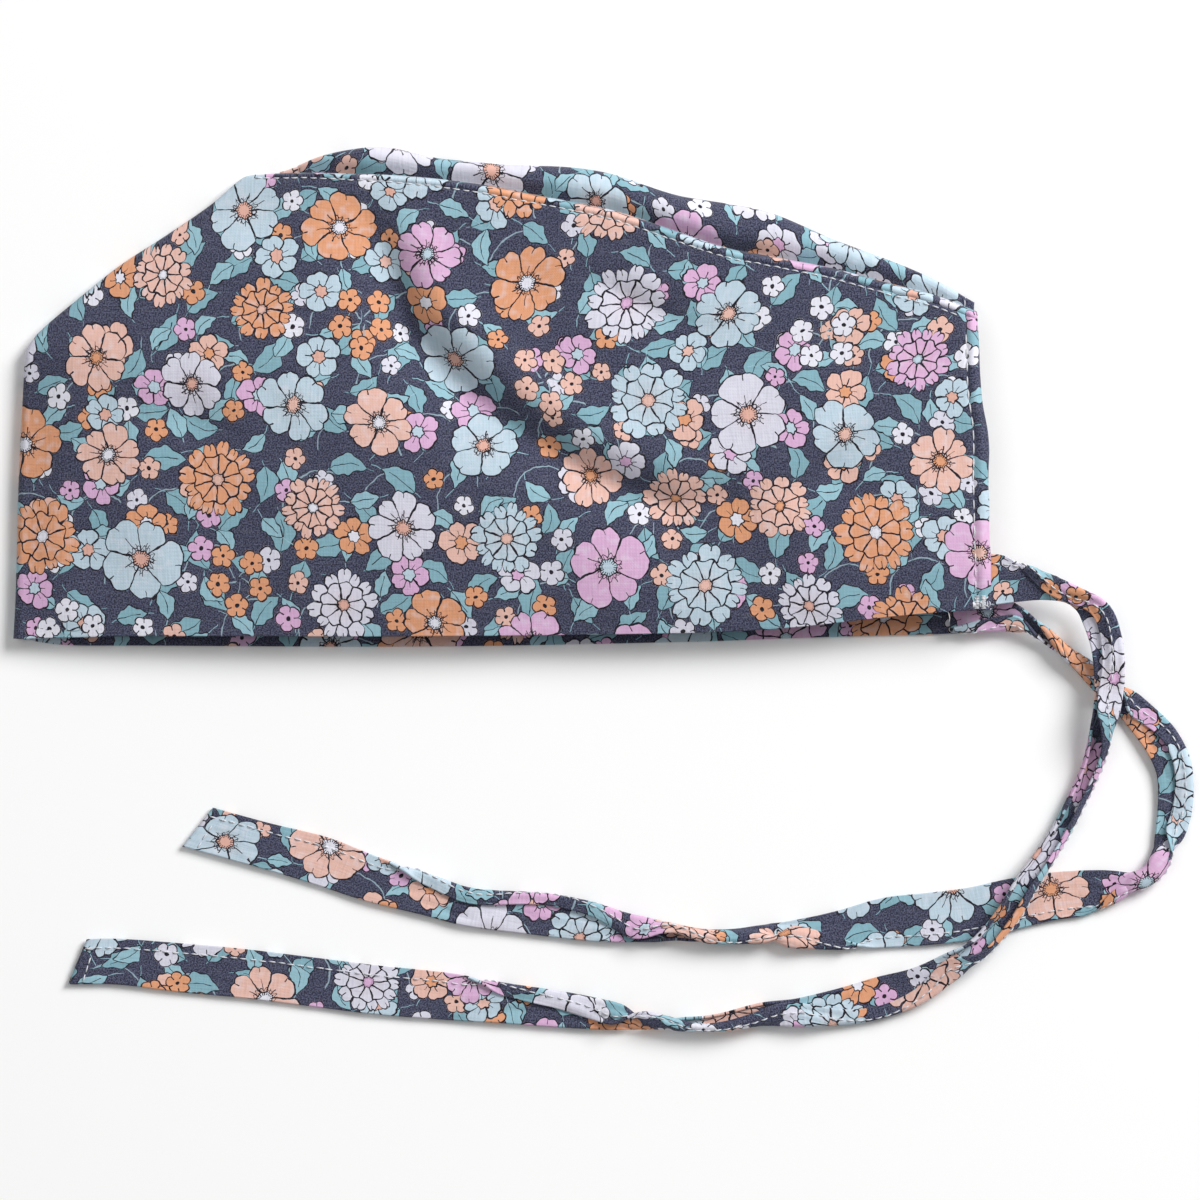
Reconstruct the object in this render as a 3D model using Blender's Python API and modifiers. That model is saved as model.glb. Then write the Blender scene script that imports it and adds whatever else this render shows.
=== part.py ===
"""A tie-back scrub cap lying flat on its side, with its ties laid out beside it.

Metres, +Z up. The front fold is towards -X, the back opening towards +X and the crown towards +Y.
The near side of the band is on top, and the far side lies on the surface at z = 0.
"""

import math
from bisect import bisect_right
from collections import namedtuple
from functools import partial

import bmesh
import bpy
from mathutils import Vector

# Band, seen from above
CAP_LENGTH = 0.2930  # along the hem, from the front fold to the back edge
FRONT_FOLD_HEIGHT = 0.0867
FRONT_FOLD_LEAN = 0.0036
SLOPE_RUN = 0.0681  # the sewn slope above the front fold
SLOPE_RISE = 0.0519
BACK_EDGE_HEIGHT = 0.0888
BACK_EDGE_LEAN = 0.0042
HEM_RISE = 0.0087  # how far the near hem climbs from the front to the back
FAR_HEM_SHOW = 0.0067  # the most of the far side that shows below the near hem
FAR_BACK_INSET = 0.0020

# Band, seen from the end
LAY_HEIGHT = 0.0175  # the near side's highest stretch above the surface
FRONT_FOLD_THICKNESS = 0.0056
SLOPE_TOP_THICKNESS = 0.0050
SLOPE_LEVEL_RUN = 0.0200  # the slope's last stretch, where its edge turns into the seam
PUFF_REACH = 0.0700  # how far behind the front the near side reaches its full height
PUFF_POWER = 2.5  # how steeply it climbs there
CREASE_END_FADE = 0.0160  # creases die out this near to the front and the back
CREASE_SIDE_FADE = 0.0090  # and this near to the hem and the seam
CLOTH_WALL = 0.0014

# Crown
CROWN_SHOW = 0.0143  # the widest part of the crown that shows past the seam
CROWN_TUCK = 0.0045  # seam allowance under the band
CROWN_WALL = 0.0012
CROWN_START = 0.0062  # where the crown begins, behind the top of the slope
CROWN_END_INSET = 0.0008
CROWN_ROUND = 0.80  # how much of what shows is the round turn, the rest being flat

# Ties
TIE_WIDTH = 0.0160
TIE_THICKNESS = 0.0016
TIE_LIFT = 0.0001  # above the plane that the band lies on
TIE_END_SLANT = 0.42  # the cut of the ends, as a tangent
TIE_END_REACH = 0.0120  # the stretch over which the slant of an end fades in
CLEARANCE = 0.0003  # between pieces that touch on the real cap

# Fineness of the sheets
NEAR_COLUMNS = 44
FOLD_COLUMNS = 6
FAR_COLUMNS = 12
BAND_ROWS = 22
CROWN_COLUMNS = 38
CROWN_ROWS = 12
TIE_STEPS = 3  # stations for each point of a tie's route
TIE_ROWS = 2
DIRECTION_STEP = 0.02  # half the share of an edge, or of a route's leg, over which its direction is read

# Outlines. Each first column is a share of the way along, and the rest are shares of a named size
FrontFold = namedtuple("FrontFold", "up lean")
FRONT_FOLD = (
    FrontFold(up=0.00, lean=0.00),
    FrontFold(up=0.14, lean=0.18),
    FrontFold(up=0.55, lean=0.45),
    FrontFold(up=0.83, lean=0.78),
    FrontFold(up=1.00, lean=1.00),
)

Slope = namedtuple("Slope", "along rise")
SLOPE = (
    Slope(along=0.00, rise=0.00),
    Slope(along=0.06, rise=0.10),
    Slope(along=0.22, rise=0.28),
    Slope(along=0.41, rise=0.48),
    Slope(along=0.62, rise=0.66),
    Slope(along=0.82, rise=0.84),
    Slope(along=0.95, rise=0.98),
    Slope(along=1.00, rise=1.00),
)

SeamLine = namedtuple("SeamLine", "along fall crown")
SEAM_LINE = (
    SeamLine(along=0.00, fall=0.00, crown=0.02),
    SeamLine(along=0.04, fall=-0.01, crown=0.12),
    SeamLine(along=0.08, fall=-0.01, crown=0.38),
    SeamLine(along=0.13, fall=0.00, crown=0.56),
    SeamLine(along=0.18, fall=0.01, crown=0.64),
    SeamLine(along=0.25, fall=0.04, crown=0.50),
    SeamLine(along=0.32, fall=0.09, crown=0.52),
    SeamLine(along=0.37, fall=0.14, crown=0.64),
    SeamLine(along=0.44, fall=0.21, crown=0.77),
    SeamLine(along=0.50, fall=0.28, crown=0.83),
    SeamLine(along=0.58, fall=0.42, crown=0.82),
    SeamLine(along=0.65, fall=0.54, crown=1.00),
    SeamLine(along=0.72, fall=0.61, crown=0.93),
    SeamLine(along=0.80, fall=0.69, crown=0.66),
    SeamLine(along=0.88, fall=0.80, crown=0.52),
    SeamLine(along=0.94, fall=0.88, crown=0.35),
    SeamLine(along=1.00, fall=1.00, crown=0.22),
)

BackEdge = namedtuple("BackEdge", "up lean")
BACK_EDGE = (
    BackEdge(up=0.00, lean=0.00),
    BackEdge(up=0.20, lean=0.13),
    BackEdge(up=0.48, lean=0.26),
    BackEdge(up=0.62, lean=0.38),
    BackEdge(up=0.75, lean=0.76),
    BackEdge(up=1.00, lean=1.00),
)

Hem = namedtuple("Hem", "along rise show")
HEM = (
    Hem(along=0.00, rise=0.00, show=0.00),
    Hem(along=0.04, rise=0.05, show=0.32),
    Hem(along=0.12, rise=0.10, show=0.42),
    Hem(along=0.42, rise=0.10, show=0.47),
    Hem(along=0.70, rise=0.22, show=0.42),
    Hem(along=0.79, rise=0.38, show=0.49),
    Hem(along=0.89, rise=0.74, show=0.82),
    Hem(along=0.95, rise=0.92, show=1.00),
    Hem(along=1.00, rise=1.00, show=1.00),
)

# Height of the near side at the hem, half way up and at the seam, as shares of LAY_HEIGHT
Lay = namedtuple("Lay", "along hem middle seam")
LAY = (
    Lay(along=0.00, hem=0.46, middle=0.80, seam=0.68),
    Lay(along=0.25, hem=0.56, middle=0.94, seam=0.86),
    Lay(along=0.45, hem=0.58, middle=1.00, seam=0.90),
    Lay(along=0.70, hem=0.60, middle=0.96, seam=0.90),
    Lay(along=0.88, hem=0.66, middle=0.86, seam=0.80),
    Lay(along=1.00, hem=0.68, middle=0.74, seam=0.66),
)

# Creases of the near side. Along is a share of CAP_LENGTH, up of the slope's top, deep of LAY_HEIGHT
# and wide of CAP_LENGTH
Crease = namedtuple("Crease", "along up deep wide")
CREASES = (
    (
        Crease(along=0.39, up=0.86, deep=0.00, wide=0.020),
        Crease(along=0.42, up=0.69, deep=0.17, wide=0.026),
        Crease(along=0.47, up=0.57, deep=0.24, wide=0.028),
        Crease(along=0.53, up=0.47, deep=0.21, wide=0.026),
        Crease(along=0.60, up=0.38, deep=0.19, wide=0.026),
        Crease(along=0.69, up=0.30, deep=0.13, wide=0.026),
        Crease(along=0.78, up=0.33, deep=0.00, wide=0.020),
    ),
    (
        Crease(along=0.58, up=0.82, deep=0.00, wide=0.016),
        Crease(along=0.65, up=0.74, deep=0.10, wide=0.020),
        Crease(along=0.74, up=0.66, deep=0.00, wide=0.020),
    ),
    (
        Crease(along=0.79, up=0.30, deep=0.00, wide=0.016),
        Crease(along=0.85, up=0.38, deep=0.09, wide=0.022),
        Crease(along=0.90, up=0.48, deep=0.00, wide=0.018),
    ),
    (
        Crease(along=0.08, up=0.52, deep=0.00, wide=0.020),
        Crease(along=0.20, up=0.50, deep=0.07, wide=0.024),
        Crease(along=0.28, up=0.40, deep=0.00, wide=0.020),
    ),
)
CREASE_LIP = 0.40  # the lip beside a crease, as a share of its depth
CREASE_LIP_SHIFT = 1.7  # how far off it stands, in crease widths

# The ties' routes, measured from the band's back lower corner. Width is a share of TIE_WIDTH, roll is
# in degrees about the route, rise is a share of the height at which the tie leaves the band, and over
# counts the ties that it passes over
Route = namedtuple("Route", "x y width roll rise over")
TIE_LEFT_ROUTE = (
    Route(x=-0.0112, y=0.0078, width=0.95, roll=0, rise=1.00, over=0),
    Route(x=0.0003, y=0.0090, width=1.00, roll=0, rise=0.98, over=0),
    Route(x=0.0090, y=0.0084, width=0.80, roll=8, rise=0.86, over=0),
    Route(x=0.0168, y=0.0069, width=0.60, roll=30, rise=0.66, over=0),
    Route(x=0.0252, y=0.0039, width=0.55, roll=55, rise=0.40, over=0.5),
    Route(x=0.0309, y=-0.0006, width=0.65, roll=22, rise=0.18, over=1),
    Route(x=0.0342, y=-0.0090, width=0.62, roll=10, rise=0.06, over=1),
    Route(x=0.0354, y=-0.0186, width=0.58, roll=6, rise=0.00, over=1),
    Route(x=0.0348, y=-0.0285, width=0.52, roll=6, rise=0.00, over=1),
    Route(x=0.0330, y=-0.0375, width=0.44, roll=8, rise=0.00, over=0.5),
    Route(x=0.0306, y=-0.0465, width=0.36, roll=8, rise=0.00, over=0),
    Route(x=0.0267, y=-0.0555, width=0.34, roll=8, rise=0.00, over=0),
    Route(x=0.0210, y=-0.0666, width=0.34, roll=6, rise=0.00, over=0),
    Route(x=0.0156, y=-0.0750, width=0.36, roll=4, rise=0.00, over=0.6),
    Route(x=0.0105, y=-0.0825, width=0.42, roll=0, rise=0.00, over=1),
    Route(x=0.0051, y=-0.0915, width=0.42, roll=0, rise=0.00, over=1),
    Route(x=-0.0036, y=-0.1014, width=0.40, roll=0, rise=0.00, over=1),
    Route(x=-0.0132, y=-0.1077, width=0.56, roll=0, rise=0.00, over=1),
    Route(x=-0.0222, y=-0.1128, width=0.70, roll=0, rise=0.00, over=0.5),
    Route(x=-0.0327, y=-0.1161, width=0.78, roll=0, rise=0.00, over=0),
    Route(x=-0.0435, y=-0.1188, width=0.72, roll=0, rise=0.00, over=0),
    Route(x=-0.0567, y=-0.1206, width=0.56, roll=10, rise=0.00, over=0),
    Route(x=-0.0681, y=-0.1213, width=0.46, roll=25, rise=0.00, over=0),
    Route(x=-0.0801, y=-0.1236, width=0.42, roll=40, rise=0.00, over=0),
    Route(x=-0.0918, y=-0.1243, width=0.34, roll=70, rise=0.00, over=0),
    Route(x=-0.1017, y=-0.1233, width=0.42, roll=140, rise=0.00, over=0),
    Route(x=-0.1137, y=-0.1218, width=0.56, roll=170, rise=0.00, over=0),
    Route(x=-0.1287, y=-0.1200, width=0.68, roll=180, rise=0.00, over=0),
    Route(x=-0.1452, y=-0.1182, width=0.76, roll=180, rise=0.00, over=0),
    Route(x=-0.1617, y=-0.1161, width=0.90, roll=180, rise=0.00, over=0),
    Route(x=-0.1842, y=-0.1140, width=0.94, roll=180, rise=0.00, over=0),
    Route(x=-0.2037, y=-0.1116, width=0.94, roll=180, rise=0.00, over=0),
    Route(x=-0.2232, y=-0.1092, width=0.94, roll=180, rise=0.00, over=0),
    Route(x=-0.2427, y=-0.1074, width=0.94, roll=180, rise=0.00, over=0),
    Route(x=-0.2607, y=-0.1056, width=0.88, roll=180, rise=0.00, over=0),
    Route(x=-0.2736, y=-0.1056, width=0.87, roll=180, rise=0.00, over=0),
)
TIE_RIGHT_ROUTE = (
    Route(x=-0.0118, y=-0.0003, width=0.84, roll=0, rise=1.0, over=0),
    Route(x=-0.0012, y=-0.0009, width=0.76, roll=0, rise=1.0, over=0),
    Route(x=0.0069, y=-0.0027, width=0.60, roll=25, rise=0.7, over=0),
    Route(x=0.0141, y=-0.0060, width=0.42, roll=45, rise=0.3, over=0),
    Route(x=0.0204, y=-0.0108, width=0.30, roll=80, rise=0.0, over=0),
    Route(x=0.0288, y=-0.0177, width=0.34, roll=172, rise=0.0, over=0),
    Route(x=0.0342, y=-0.0225, width=0.46, roll=180, rise=0.0, over=0),
    Route(x=0.0402, y=-0.0273, width=0.52, roll=180, rise=0.0, over=0),
    Route(x=0.0456, y=-0.0327, width=0.62, roll=180, rise=0.0, over=0),
    Route(x=0.0513, y=-0.0396, width=0.70, roll=180, rise=0.0, over=0),
    Route(x=0.0549, y=-0.0474, width=0.68, roll=180, rise=0.0, over=0),
    Route(x=0.0555, y=-0.0570, width=0.66, roll=180, rise=0.0, over=0),
    Route(x=0.0543, y=-0.0657, width=0.60, roll=180, rise=0.0, over=0),
    Route(x=0.0519, y=-0.0735, width=0.50, roll=180, rise=0.0, over=0),
    Route(x=0.0483, y=-0.0790, width=0.42, roll=180, rise=0.0, over=0),
    Route(x=0.0432, y=-0.0816, width=0.46, roll=180, rise=0.0, over=0),
    Route(x=0.0378, y=-0.0831, width=0.62, roll=180, rise=0.0, over=0),
    Route(x=0.0288, y=-0.0849, width=0.80, roll=180, rise=0.0, over=0),
    Route(x=0.0183, y=-0.0861, width=0.92, roll=180, rise=0.0, over=0),
    Route(x=0.0072, y=-0.0882, width=0.98, roll=180, rise=0.0, over=0),
    Route(x=-0.0057, y=-0.0912, width=1.00, roll=180, rise=0.0, over=0),
    Route(x=-0.0177, y=-0.0927, width=1.00, roll=180, rise=0.0, over=0),
    Route(x=-0.0312, y=-0.0939, width=0.96, roll=180, rise=0.0, over=0),
    Route(x=-0.0438, y=-0.0960, width=0.78, roll=180, rise=0.0, over=0),
    Route(x=-0.0567, y=-0.0972, width=0.58, roll=190, rise=0.0, over=0),
    Route(x=-0.0687, y=-0.0975, width=0.44, roll=215, rise=0.0, over=0),
    Route(x=-0.0822, y=-0.0981, width=0.30, roll=250, rise=0.0, over=0),
    Route(x=-0.0951, y=-0.0966, width=0.40, roll=320, rise=0.0, over=0),
    Route(x=-0.1068, y=-0.0957, width=0.54, roll=348, rise=0.0, over=0),
    Route(x=-0.1191, y=-0.0937, width=0.74, roll=360, rise=0.0, over=0),
    Route(x=-0.1347, y=-0.0915, width=0.80, roll=360, rise=0.0, over=0),
    Route(x=-0.1557, y=-0.0894, width=0.72, roll=360, rise=0.0, over=0),
    Route(x=-0.1692, y=-0.0855, width=0.78, roll=360, rise=0.0, over=0),
    Route(x=-0.1857, y=-0.0807, width=0.88, roll=360, rise=0.0, over=0),
    Route(x=-0.2007, y=-0.0753, width=0.94, roll=360, rise=0.0, over=0),
    Route(x=-0.2172, y=-0.0708, width=0.88, roll=360, rise=0.0, over=0),
    Route(x=-0.2376, y=-0.0652, width=0.88, roll=360, rise=0.0, over=0),
)

# Cloth colours: the mean of the print, seen from further off
BAND_COLOUR = (0.26, 0.26, 0.31, 1.0)
CROWN_COLOUR = (0.24, 0.25, 0.30, 1.0)
TIE_LEFT_COLOUR = (0.30, 0.31, 0.36, 1.0)
TIE_RIGHT_COLOUR = (0.27, 0.25, 0.30, 1.0)
CLOTH_ROUGHNESS = 0.85


def clamp(value, low=0.0, high=1.0):
    return max(low, min(high, value))


def mix(a, b, share):
    return a + (b - a) * share


def ease_out(share, power=2.0):
    """Rises from 0 steeply and levels off at 1."""
    return 1.0 - (1.0 - clamp(share)) ** power


def ease(share):
    share = clamp(share)
    return share * share * (3.0 - 2.0 * share)


def hermite(keys, values, at):
    """A smooth curve through the values, read at one place."""
    last = len(keys) - 1
    i = int(clamp(bisect_right(keys, at) - 1, 0, last - 1))
    span = keys[i + 1] - keys[i]
    t = clamp((at - keys[i]) / span)

    def slope(k):
        low, high = max(k - 1, 0), min(k + 1, last)
        return (values[high] - values[low]) / (keys[high] - keys[low]) * span

    rest = 1.0 - t
    start = values[i] * (1.0 + 2.0 * t) * rest * rest
    end = values[i + 1] * (3.0 - 2.0 * t) * t * t
    return start + end + slope(i) * t * rest * rest - slope(i + 1) * t * t * rest


def read(rows, column, at):
    """The value of a table's column, at a share of the way along its first column."""
    keys = [row[0] for row in rows]
    return hermite(keys, [getattr(row, column) for row in rows], at)


def fold_share():
    """The share of the front outline that is fold. The rest is the slope."""
    return FRONT_FOLD_HEIGHT / (FRONT_FOLD_HEIGHT + math.hypot(SLOPE_RUN, SLOPE_RISE))


def front_outline(t):
    """The band's front edge, from the hem up the fold and over the slope."""
    split = fold_share()
    if t <= split:
        up = t / split
        return Vector((FRONT_FOLD_LEAN * read(FRONT_FOLD, "lean", up), FRONT_FOLD_HEIGHT * up))
    share = (t - split) / (1.0 - split)
    x = FRONT_FOLD_LEAN + SLOPE_RUN * share
    y = FRONT_FOLD_HEIGHT + SLOPE_RISE * read(SLOPE, "rise", share)
    return Vector((x, y))


def front_outward(t):
    """The way out of the front edge. It turns level at the top, in line with the seam."""
    ahead, behind = min(1.0, t + DIRECTION_STEP), max(0.0, t - DIRECTION_STEP)
    along = front_outline(ahead) - front_outline(behind)
    out = Vector((-along.y, along.x)).normalized()
    level_share = SLOPE_LEVEL_RUN / SLOPE_RUN * (1.0 - fold_share())
    level = ease((t - 1.0 + level_share) / level_share)
    return out.lerp(Vector((-1.0, 0.0)), level).normalized()


def fold_thickness(t):
    """The band's thickness over all at its front edge."""
    return mix(FRONT_FOLD_THICKNESS, SLOPE_TOP_THICKNESS, ease((t - fold_share()) / (1.0 - fold_share())))


def fold_radius(t):
    """The radius of the middle of the cloth where it turns round the front edge."""
    return (fold_thickness(t) - CLOTH_WALL) / 2.0


def front_inset(t):
    """The front outline, moved in to the middle of the fold."""
    return front_outline(t) - front_outward(t) * (fold_radius(t) + CLOTH_WALL / 2.0)


def back_outline(t, far):
    x = CAP_LENGTH - BACK_EDGE_LEAN * read(BACK_EDGE, "lean", t) - (FAR_BACK_INSET if far else 0.0)
    return Vector((x, HEM_RISE + BACK_EDGE_HEIGHT * t - (far_hem_drop(1.0) * (1.0 - t) if far else 0.0)))


def far_hem_drop(s):
    return FAR_HEM_SHOW * read(HEM, "show", s)


def hem_outline(s, far):
    line = front_inset(0.0).lerp(back_outline(0.0, far), s)
    line.y += HEM_RISE * (read(HEM, "rise", s) - s)
    if far:
        line.y -= far_hem_drop(s) - far_hem_drop(1.0) * s
    return line


def seam_fall():
    return FRONT_FOLD_HEIGHT + SLOPE_RISE - HEM_RISE - BACK_EDGE_HEIGHT


def seam_outline(s, far):
    line = front_inset(1.0).lerp(back_outline(1.0, far), s)
    line.y -= seam_fall() * (read(SEAM_LINE, "fall", s) - s)
    return line


def band_plan(s, t, far=False):
    """A place of the band seen from above. s runs from front to back, and t from hem to seam."""
    across = hem_outline(s, far).lerp(seam_outline(s, far), t)
    up = front_inset(t).lerp(back_outline(t, far), s)
    low = front_inset(0.0).lerp(back_outline(0.0, far), s)
    high = front_inset(1.0).lerp(back_outline(1.0, far), s)
    return across + up - low.lerp(high, t)


def crease_depth(x, y):
    """How far the creases sink the near side at one place."""
    total = 0.0
    top = FRONT_FOLD_HEIGHT + SLOPE_RISE
    here = Vector((x, y))
    for crease in CREASES:
        nearest = None
        for a, b in zip(crease, crease[1:]):
            start = Vector((a.along * CAP_LENGTH, a.up * top))
            run = Vector((b.along * CAP_LENGTH, b.up * top)) - start
            share = clamp((here - start).dot(run) / run.length_squared)
            away = here - (start + run * share)
            side = run.x * away.y - run.y * away.x
            distance = math.copysign(away.length, side)
            if nearest is None or abs(distance) < abs(nearest[0]):
                nearest = (distance, mix(a.deep, b.deep, share), mix(a.wide, b.wide, share))
        distance, deep, wide = nearest
        off = distance / (wide * CAP_LENGTH)
        total += LAY_HEIGHT * deep * (
            math.exp(-off * off) - CREASE_LIP * math.exp(-((off - CREASE_LIP_SHIFT) ** 2))
        )
    return total


def near_height(s, t):
    """The middle of the near side's cloth above the surface."""
    hem, middle, seam = (read(LAY, column, s) for column in ("hem", "middle", "seam"))
    if t < 0.5:
        share = mix(hem, middle, ease_out(t * 2.0))
    else:
        share = mix(seam, middle, ease_out(2.0 - t * 2.0))
    full = LAY_HEIGHT * share - CLOTH_WALL / 2.0
    fold = CLOTH_WALL / 2.0 + 2.0 * fold_radius(t)
    place = band_plan(s, t)
    puffed = ease_out(s * CAP_LENGTH / PUFF_REACH, PUFF_POWER)
    from_end = min(s, 1.0 - s) * CAP_LENGTH
    from_side = min(t, 1.0 - t) * (FRONT_FOLD_HEIGHT + SLOPE_RISE)
    fade = ease(from_end / CREASE_END_FADE) * ease(from_side / CREASE_SIDE_FADE)
    return mix(fold, full, puffed) - crease_depth(place.x, place.y) * fade


def band_point(column, row):
    """Columns run from the near side's back edge, round the front fold, to the far side's back edge."""
    t = row / BAND_ROWS
    if column <= NEAR_COLUMNS:
        s = 1.0 - column / NEAR_COLUMNS
        place = band_plan(s, t)
        return Vector((place.x, place.y, near_height(s, t)))
    radius = fold_radius(t)
    if column < NEAR_COLUMNS + FOLD_COLUMNS:
        turn = math.pi * (0.5 - (column - NEAR_COLUMNS) / FOLD_COLUMNS)
        place = front_inset(t) + front_outward(t) * radius * math.cos(turn)
        return Vector((place.x, place.y, CLOTH_WALL / 2.0 + radius * (1.0 + math.sin(turn))))
    s = (column - NEAR_COLUMNS - FOLD_COLUMNS) / FAR_COLUMNS
    place = band_plan(s, t, far=True)
    return Vector((place.x, place.y, CLOTH_WALL / 2.0))


def crown_point(column, row):
    """Columns run from front to back, rows from under the near side, out, and back onto the far side."""
    length = CAP_LENGTH - SLOPE_RUN - BACK_EDGE_LEAN
    s = mix(CROWN_START / length, 1.0 - CROWN_END_INSET / length, column / CROWN_COLUMNS)
    edge = seam_outline(s, False)
    show = CROWN_SHOW * read(SEAM_LINE, "crown", s) - CROWN_WALL / 2.0
    high = near_height(s, 1.0) - CLOTH_WALL / 2.0 - CLEARANCE * 2.0 - CROWN_WALL / 2.0
    low = CLOTH_WALL + CLEARANCE + CROWN_WALL / 2.0
    turn_depth = CROWN_ROUND * (show + CROWN_WALL)
    turn_start = show - turn_depth
    legs = CROWN_ROWS // 4
    if row <= legs:
        return Vector((edge.x, edge.y + mix(-CROWN_TUCK, turn_start, row / legs), high))
    if row >= CROWN_ROWS - legs:
        return Vector((edge.x, edge.y + mix(-CROWN_TUCK, turn_start, (CROWN_ROWS - row) / legs), low))
    turn = math.pi * (0.5 - (row - legs) / (CROWN_ROWS - 2 * legs))
    out = turn_start + turn_depth * math.cos(turn)
    return Vector((edge.x, edge.y + out, mix(low, high, 0.5 + 0.5 * math.sin(turn))))


def tie_point(route, root_height, column, row):
    """Columns run along the tie from its root, and rows across it."""

    def follow(name, at):
        return hermite(list(range(len(route))), [getattr(point, name) for point in route], at)

    at = column / TIE_STEPS
    ahead, behind = min(at + DIRECTION_STEP, len(route) - 1), max(at - DIRECTION_STEP, 0.0)
    run = Vector((follow("x", ahead) - follow("x", behind), follow("y", ahead) - follow("y", behind), 0.0))
    run.normalize()
    turn = math.radians(follow("roll", at))
    side = Vector((-run.y * math.cos(turn), run.x * math.cos(turn), math.sin(turn)))

    half = TIE_WIDTH * follow("width", at) / 2.0
    across = (row / TIE_ROWS * 2.0 - 1.0) * half
    lift = TIE_LIFT + max(0.0, follow("rise", at)) * root_height
    lift += max(0.0, follow("over", at)) * (TIE_THICKNESS + 2.0 * CLEARANCE)
    lift += TIE_THICKNESS / 2.0 * abs(math.cos(turn)) + half * abs(math.sin(turn))

    corner = back_outline(0.0, False)
    centre = Vector((corner.x + follow("x", at), corner.y + follow("y", at), lift))
    end = Vector((corner.x + route[-1].x, corner.y + route[-1].y, lift))
    slant = TIE_END_SLANT * across * ease(1.0 - (end - centre).length / TIE_END_REACH) * math.cos(turn)
    return centre + side * across + run * slant


def cloth_material(name, colour):
    material = bpy.data.materials.new(name)
    material.use_nodes = True
    shader = material.node_tree.nodes["Principled BSDF"]
    shader.inputs["Base Color"].default_value = colour
    shader.inputs["Roughness"].default_value = CLOTH_ROUGHNESS
    shader.inputs["Metallic"].default_value = 0.0
    return material


def sheet(name, columns, rows, place, thickness, colour, collection, parent):
    """A sheet of cloth: a grid bent to shape and given its thickness."""
    mesh = bpy.data.meshes.new(name)
    bm = bmesh.new()
    bmesh.ops.create_grid(bm, x_segments=columns, y_segments=rows, size=0.5)
    for vertex in bm.verts:
        column = round((vertex.co.x + 0.5) * columns)
        row = round((vertex.co.y + 0.5) * rows)
        vertex.co = place(column, row)
    bmesh.ops.recalc_face_normals(bm, faces=bm.faces)
    bm.to_mesh(mesh)
    bm.free()
    mesh.shade_smooth()
    mesh.materials.append(cloth_material(name + "_cloth", colour))
    cloth = bpy.data.objects.new(name, mesh)
    collection.objects.link(cloth)
    cloth.parent = parent
    solidify = cloth.modifiers.new("Thickness", "SOLIDIFY")
    solidify.thickness = thickness
    solidify.offset = 0.0
    return cloth


def middle_of(pieces):
    """The middle of the pieces' box, seen from above."""
    graph = bpy.context.evaluated_depsgraph_get()
    corners = [Vector(c) for piece in pieces for c in piece.evaluated_get(graph).bound_box]
    return [(min(c[i] for c in corners) + max(c[i] for c in corners)) / 2.0 for i in (0, 1)]


def main():
    for item in list(bpy.data.objects):
        bpy.data.objects.remove(item, do_unlink=True)
    collection = bpy.data.collections.new("scrub_cap")
    bpy.context.scene.collection.children.link(collection)
    centre = bpy.data.objects.new("cap_centre", None)
    collection.objects.link(centre)

    make = partial(sheet, collection=collection, parent=centre)

    band_columns = NEAR_COLUMNS + FOLD_COLUMNS + FAR_COLUMNS
    band = make("side_band", band_columns, BAND_ROWS, band_point, CLOTH_WALL, BAND_COLOUR)
    crown = make("crown", CROWN_COLUMNS, CROWN_ROWS, crown_point, CROWN_WALL, CROWN_COLOUR)

    under_near_hem = near_height(1.0, 0.0) - CLOTH_WALL / 2.0 - CLEARANCE - TIE_THICKNESS - TIE_LIFT
    on_far_side = CLOTH_WALL + CLEARANCE - TIE_LIFT
    ties = (
        ("tie_left", TIE_LEFT_ROUTE, under_near_hem, TIE_LEFT_COLOUR),
        ("tie_right", TIE_RIGHT_ROUTE, on_far_side, TIE_RIGHT_COLOUR),
    )
    for name, route, root_height, colour in ties:
        columns = (len(route) - 1) * TIE_STEPS
        place = partial(tie_point, route, root_height)
        make(name, columns, TIE_ROWS, place, TIE_THICKNESS, colour)

    bpy.context.view_layer.update()
    x, y = middle_of((band, crown))
    centre.location = (-x, -y, 0.0)
    bpy.context.view_layer.update()


main()
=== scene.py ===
# %% [markdown]
# # A tie-back scrub cap in printed cotton
#
# The cap lies flat on its side, as it comes out of a drawer. It is sewn from few pieces: a side band
# that is folded at the centre front, a crown that is sewn between the band's two top edges, and two
# narrow ties that leave the back corner and lie loose.
#
# A plain model of the cap is loaded first, as a fixed frame. Each piece of cloth made below takes the
# place of one of its solids, keeps its size, and adds what makes cloth look like cloth: folds,
# puckers, stitches, a weave and a print. All lengths are in metres, and z is up from the table.

import math

import bpy
import numpy as np
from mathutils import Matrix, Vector, noise


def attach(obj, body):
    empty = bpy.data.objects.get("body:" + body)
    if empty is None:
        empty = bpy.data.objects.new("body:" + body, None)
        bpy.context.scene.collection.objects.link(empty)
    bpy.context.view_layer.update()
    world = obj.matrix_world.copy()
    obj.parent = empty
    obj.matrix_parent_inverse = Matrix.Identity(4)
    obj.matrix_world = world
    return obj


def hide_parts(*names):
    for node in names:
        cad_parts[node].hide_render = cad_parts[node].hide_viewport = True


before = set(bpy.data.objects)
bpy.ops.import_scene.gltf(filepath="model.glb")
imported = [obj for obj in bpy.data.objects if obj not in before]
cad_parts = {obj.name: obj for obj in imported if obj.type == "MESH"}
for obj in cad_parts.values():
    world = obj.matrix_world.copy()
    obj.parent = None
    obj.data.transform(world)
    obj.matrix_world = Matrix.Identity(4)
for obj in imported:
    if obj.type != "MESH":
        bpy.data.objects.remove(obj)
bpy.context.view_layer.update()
scene = bpy.context.scene
print("Solids of the frame:", ", ".join(sorted(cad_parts)))

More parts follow.
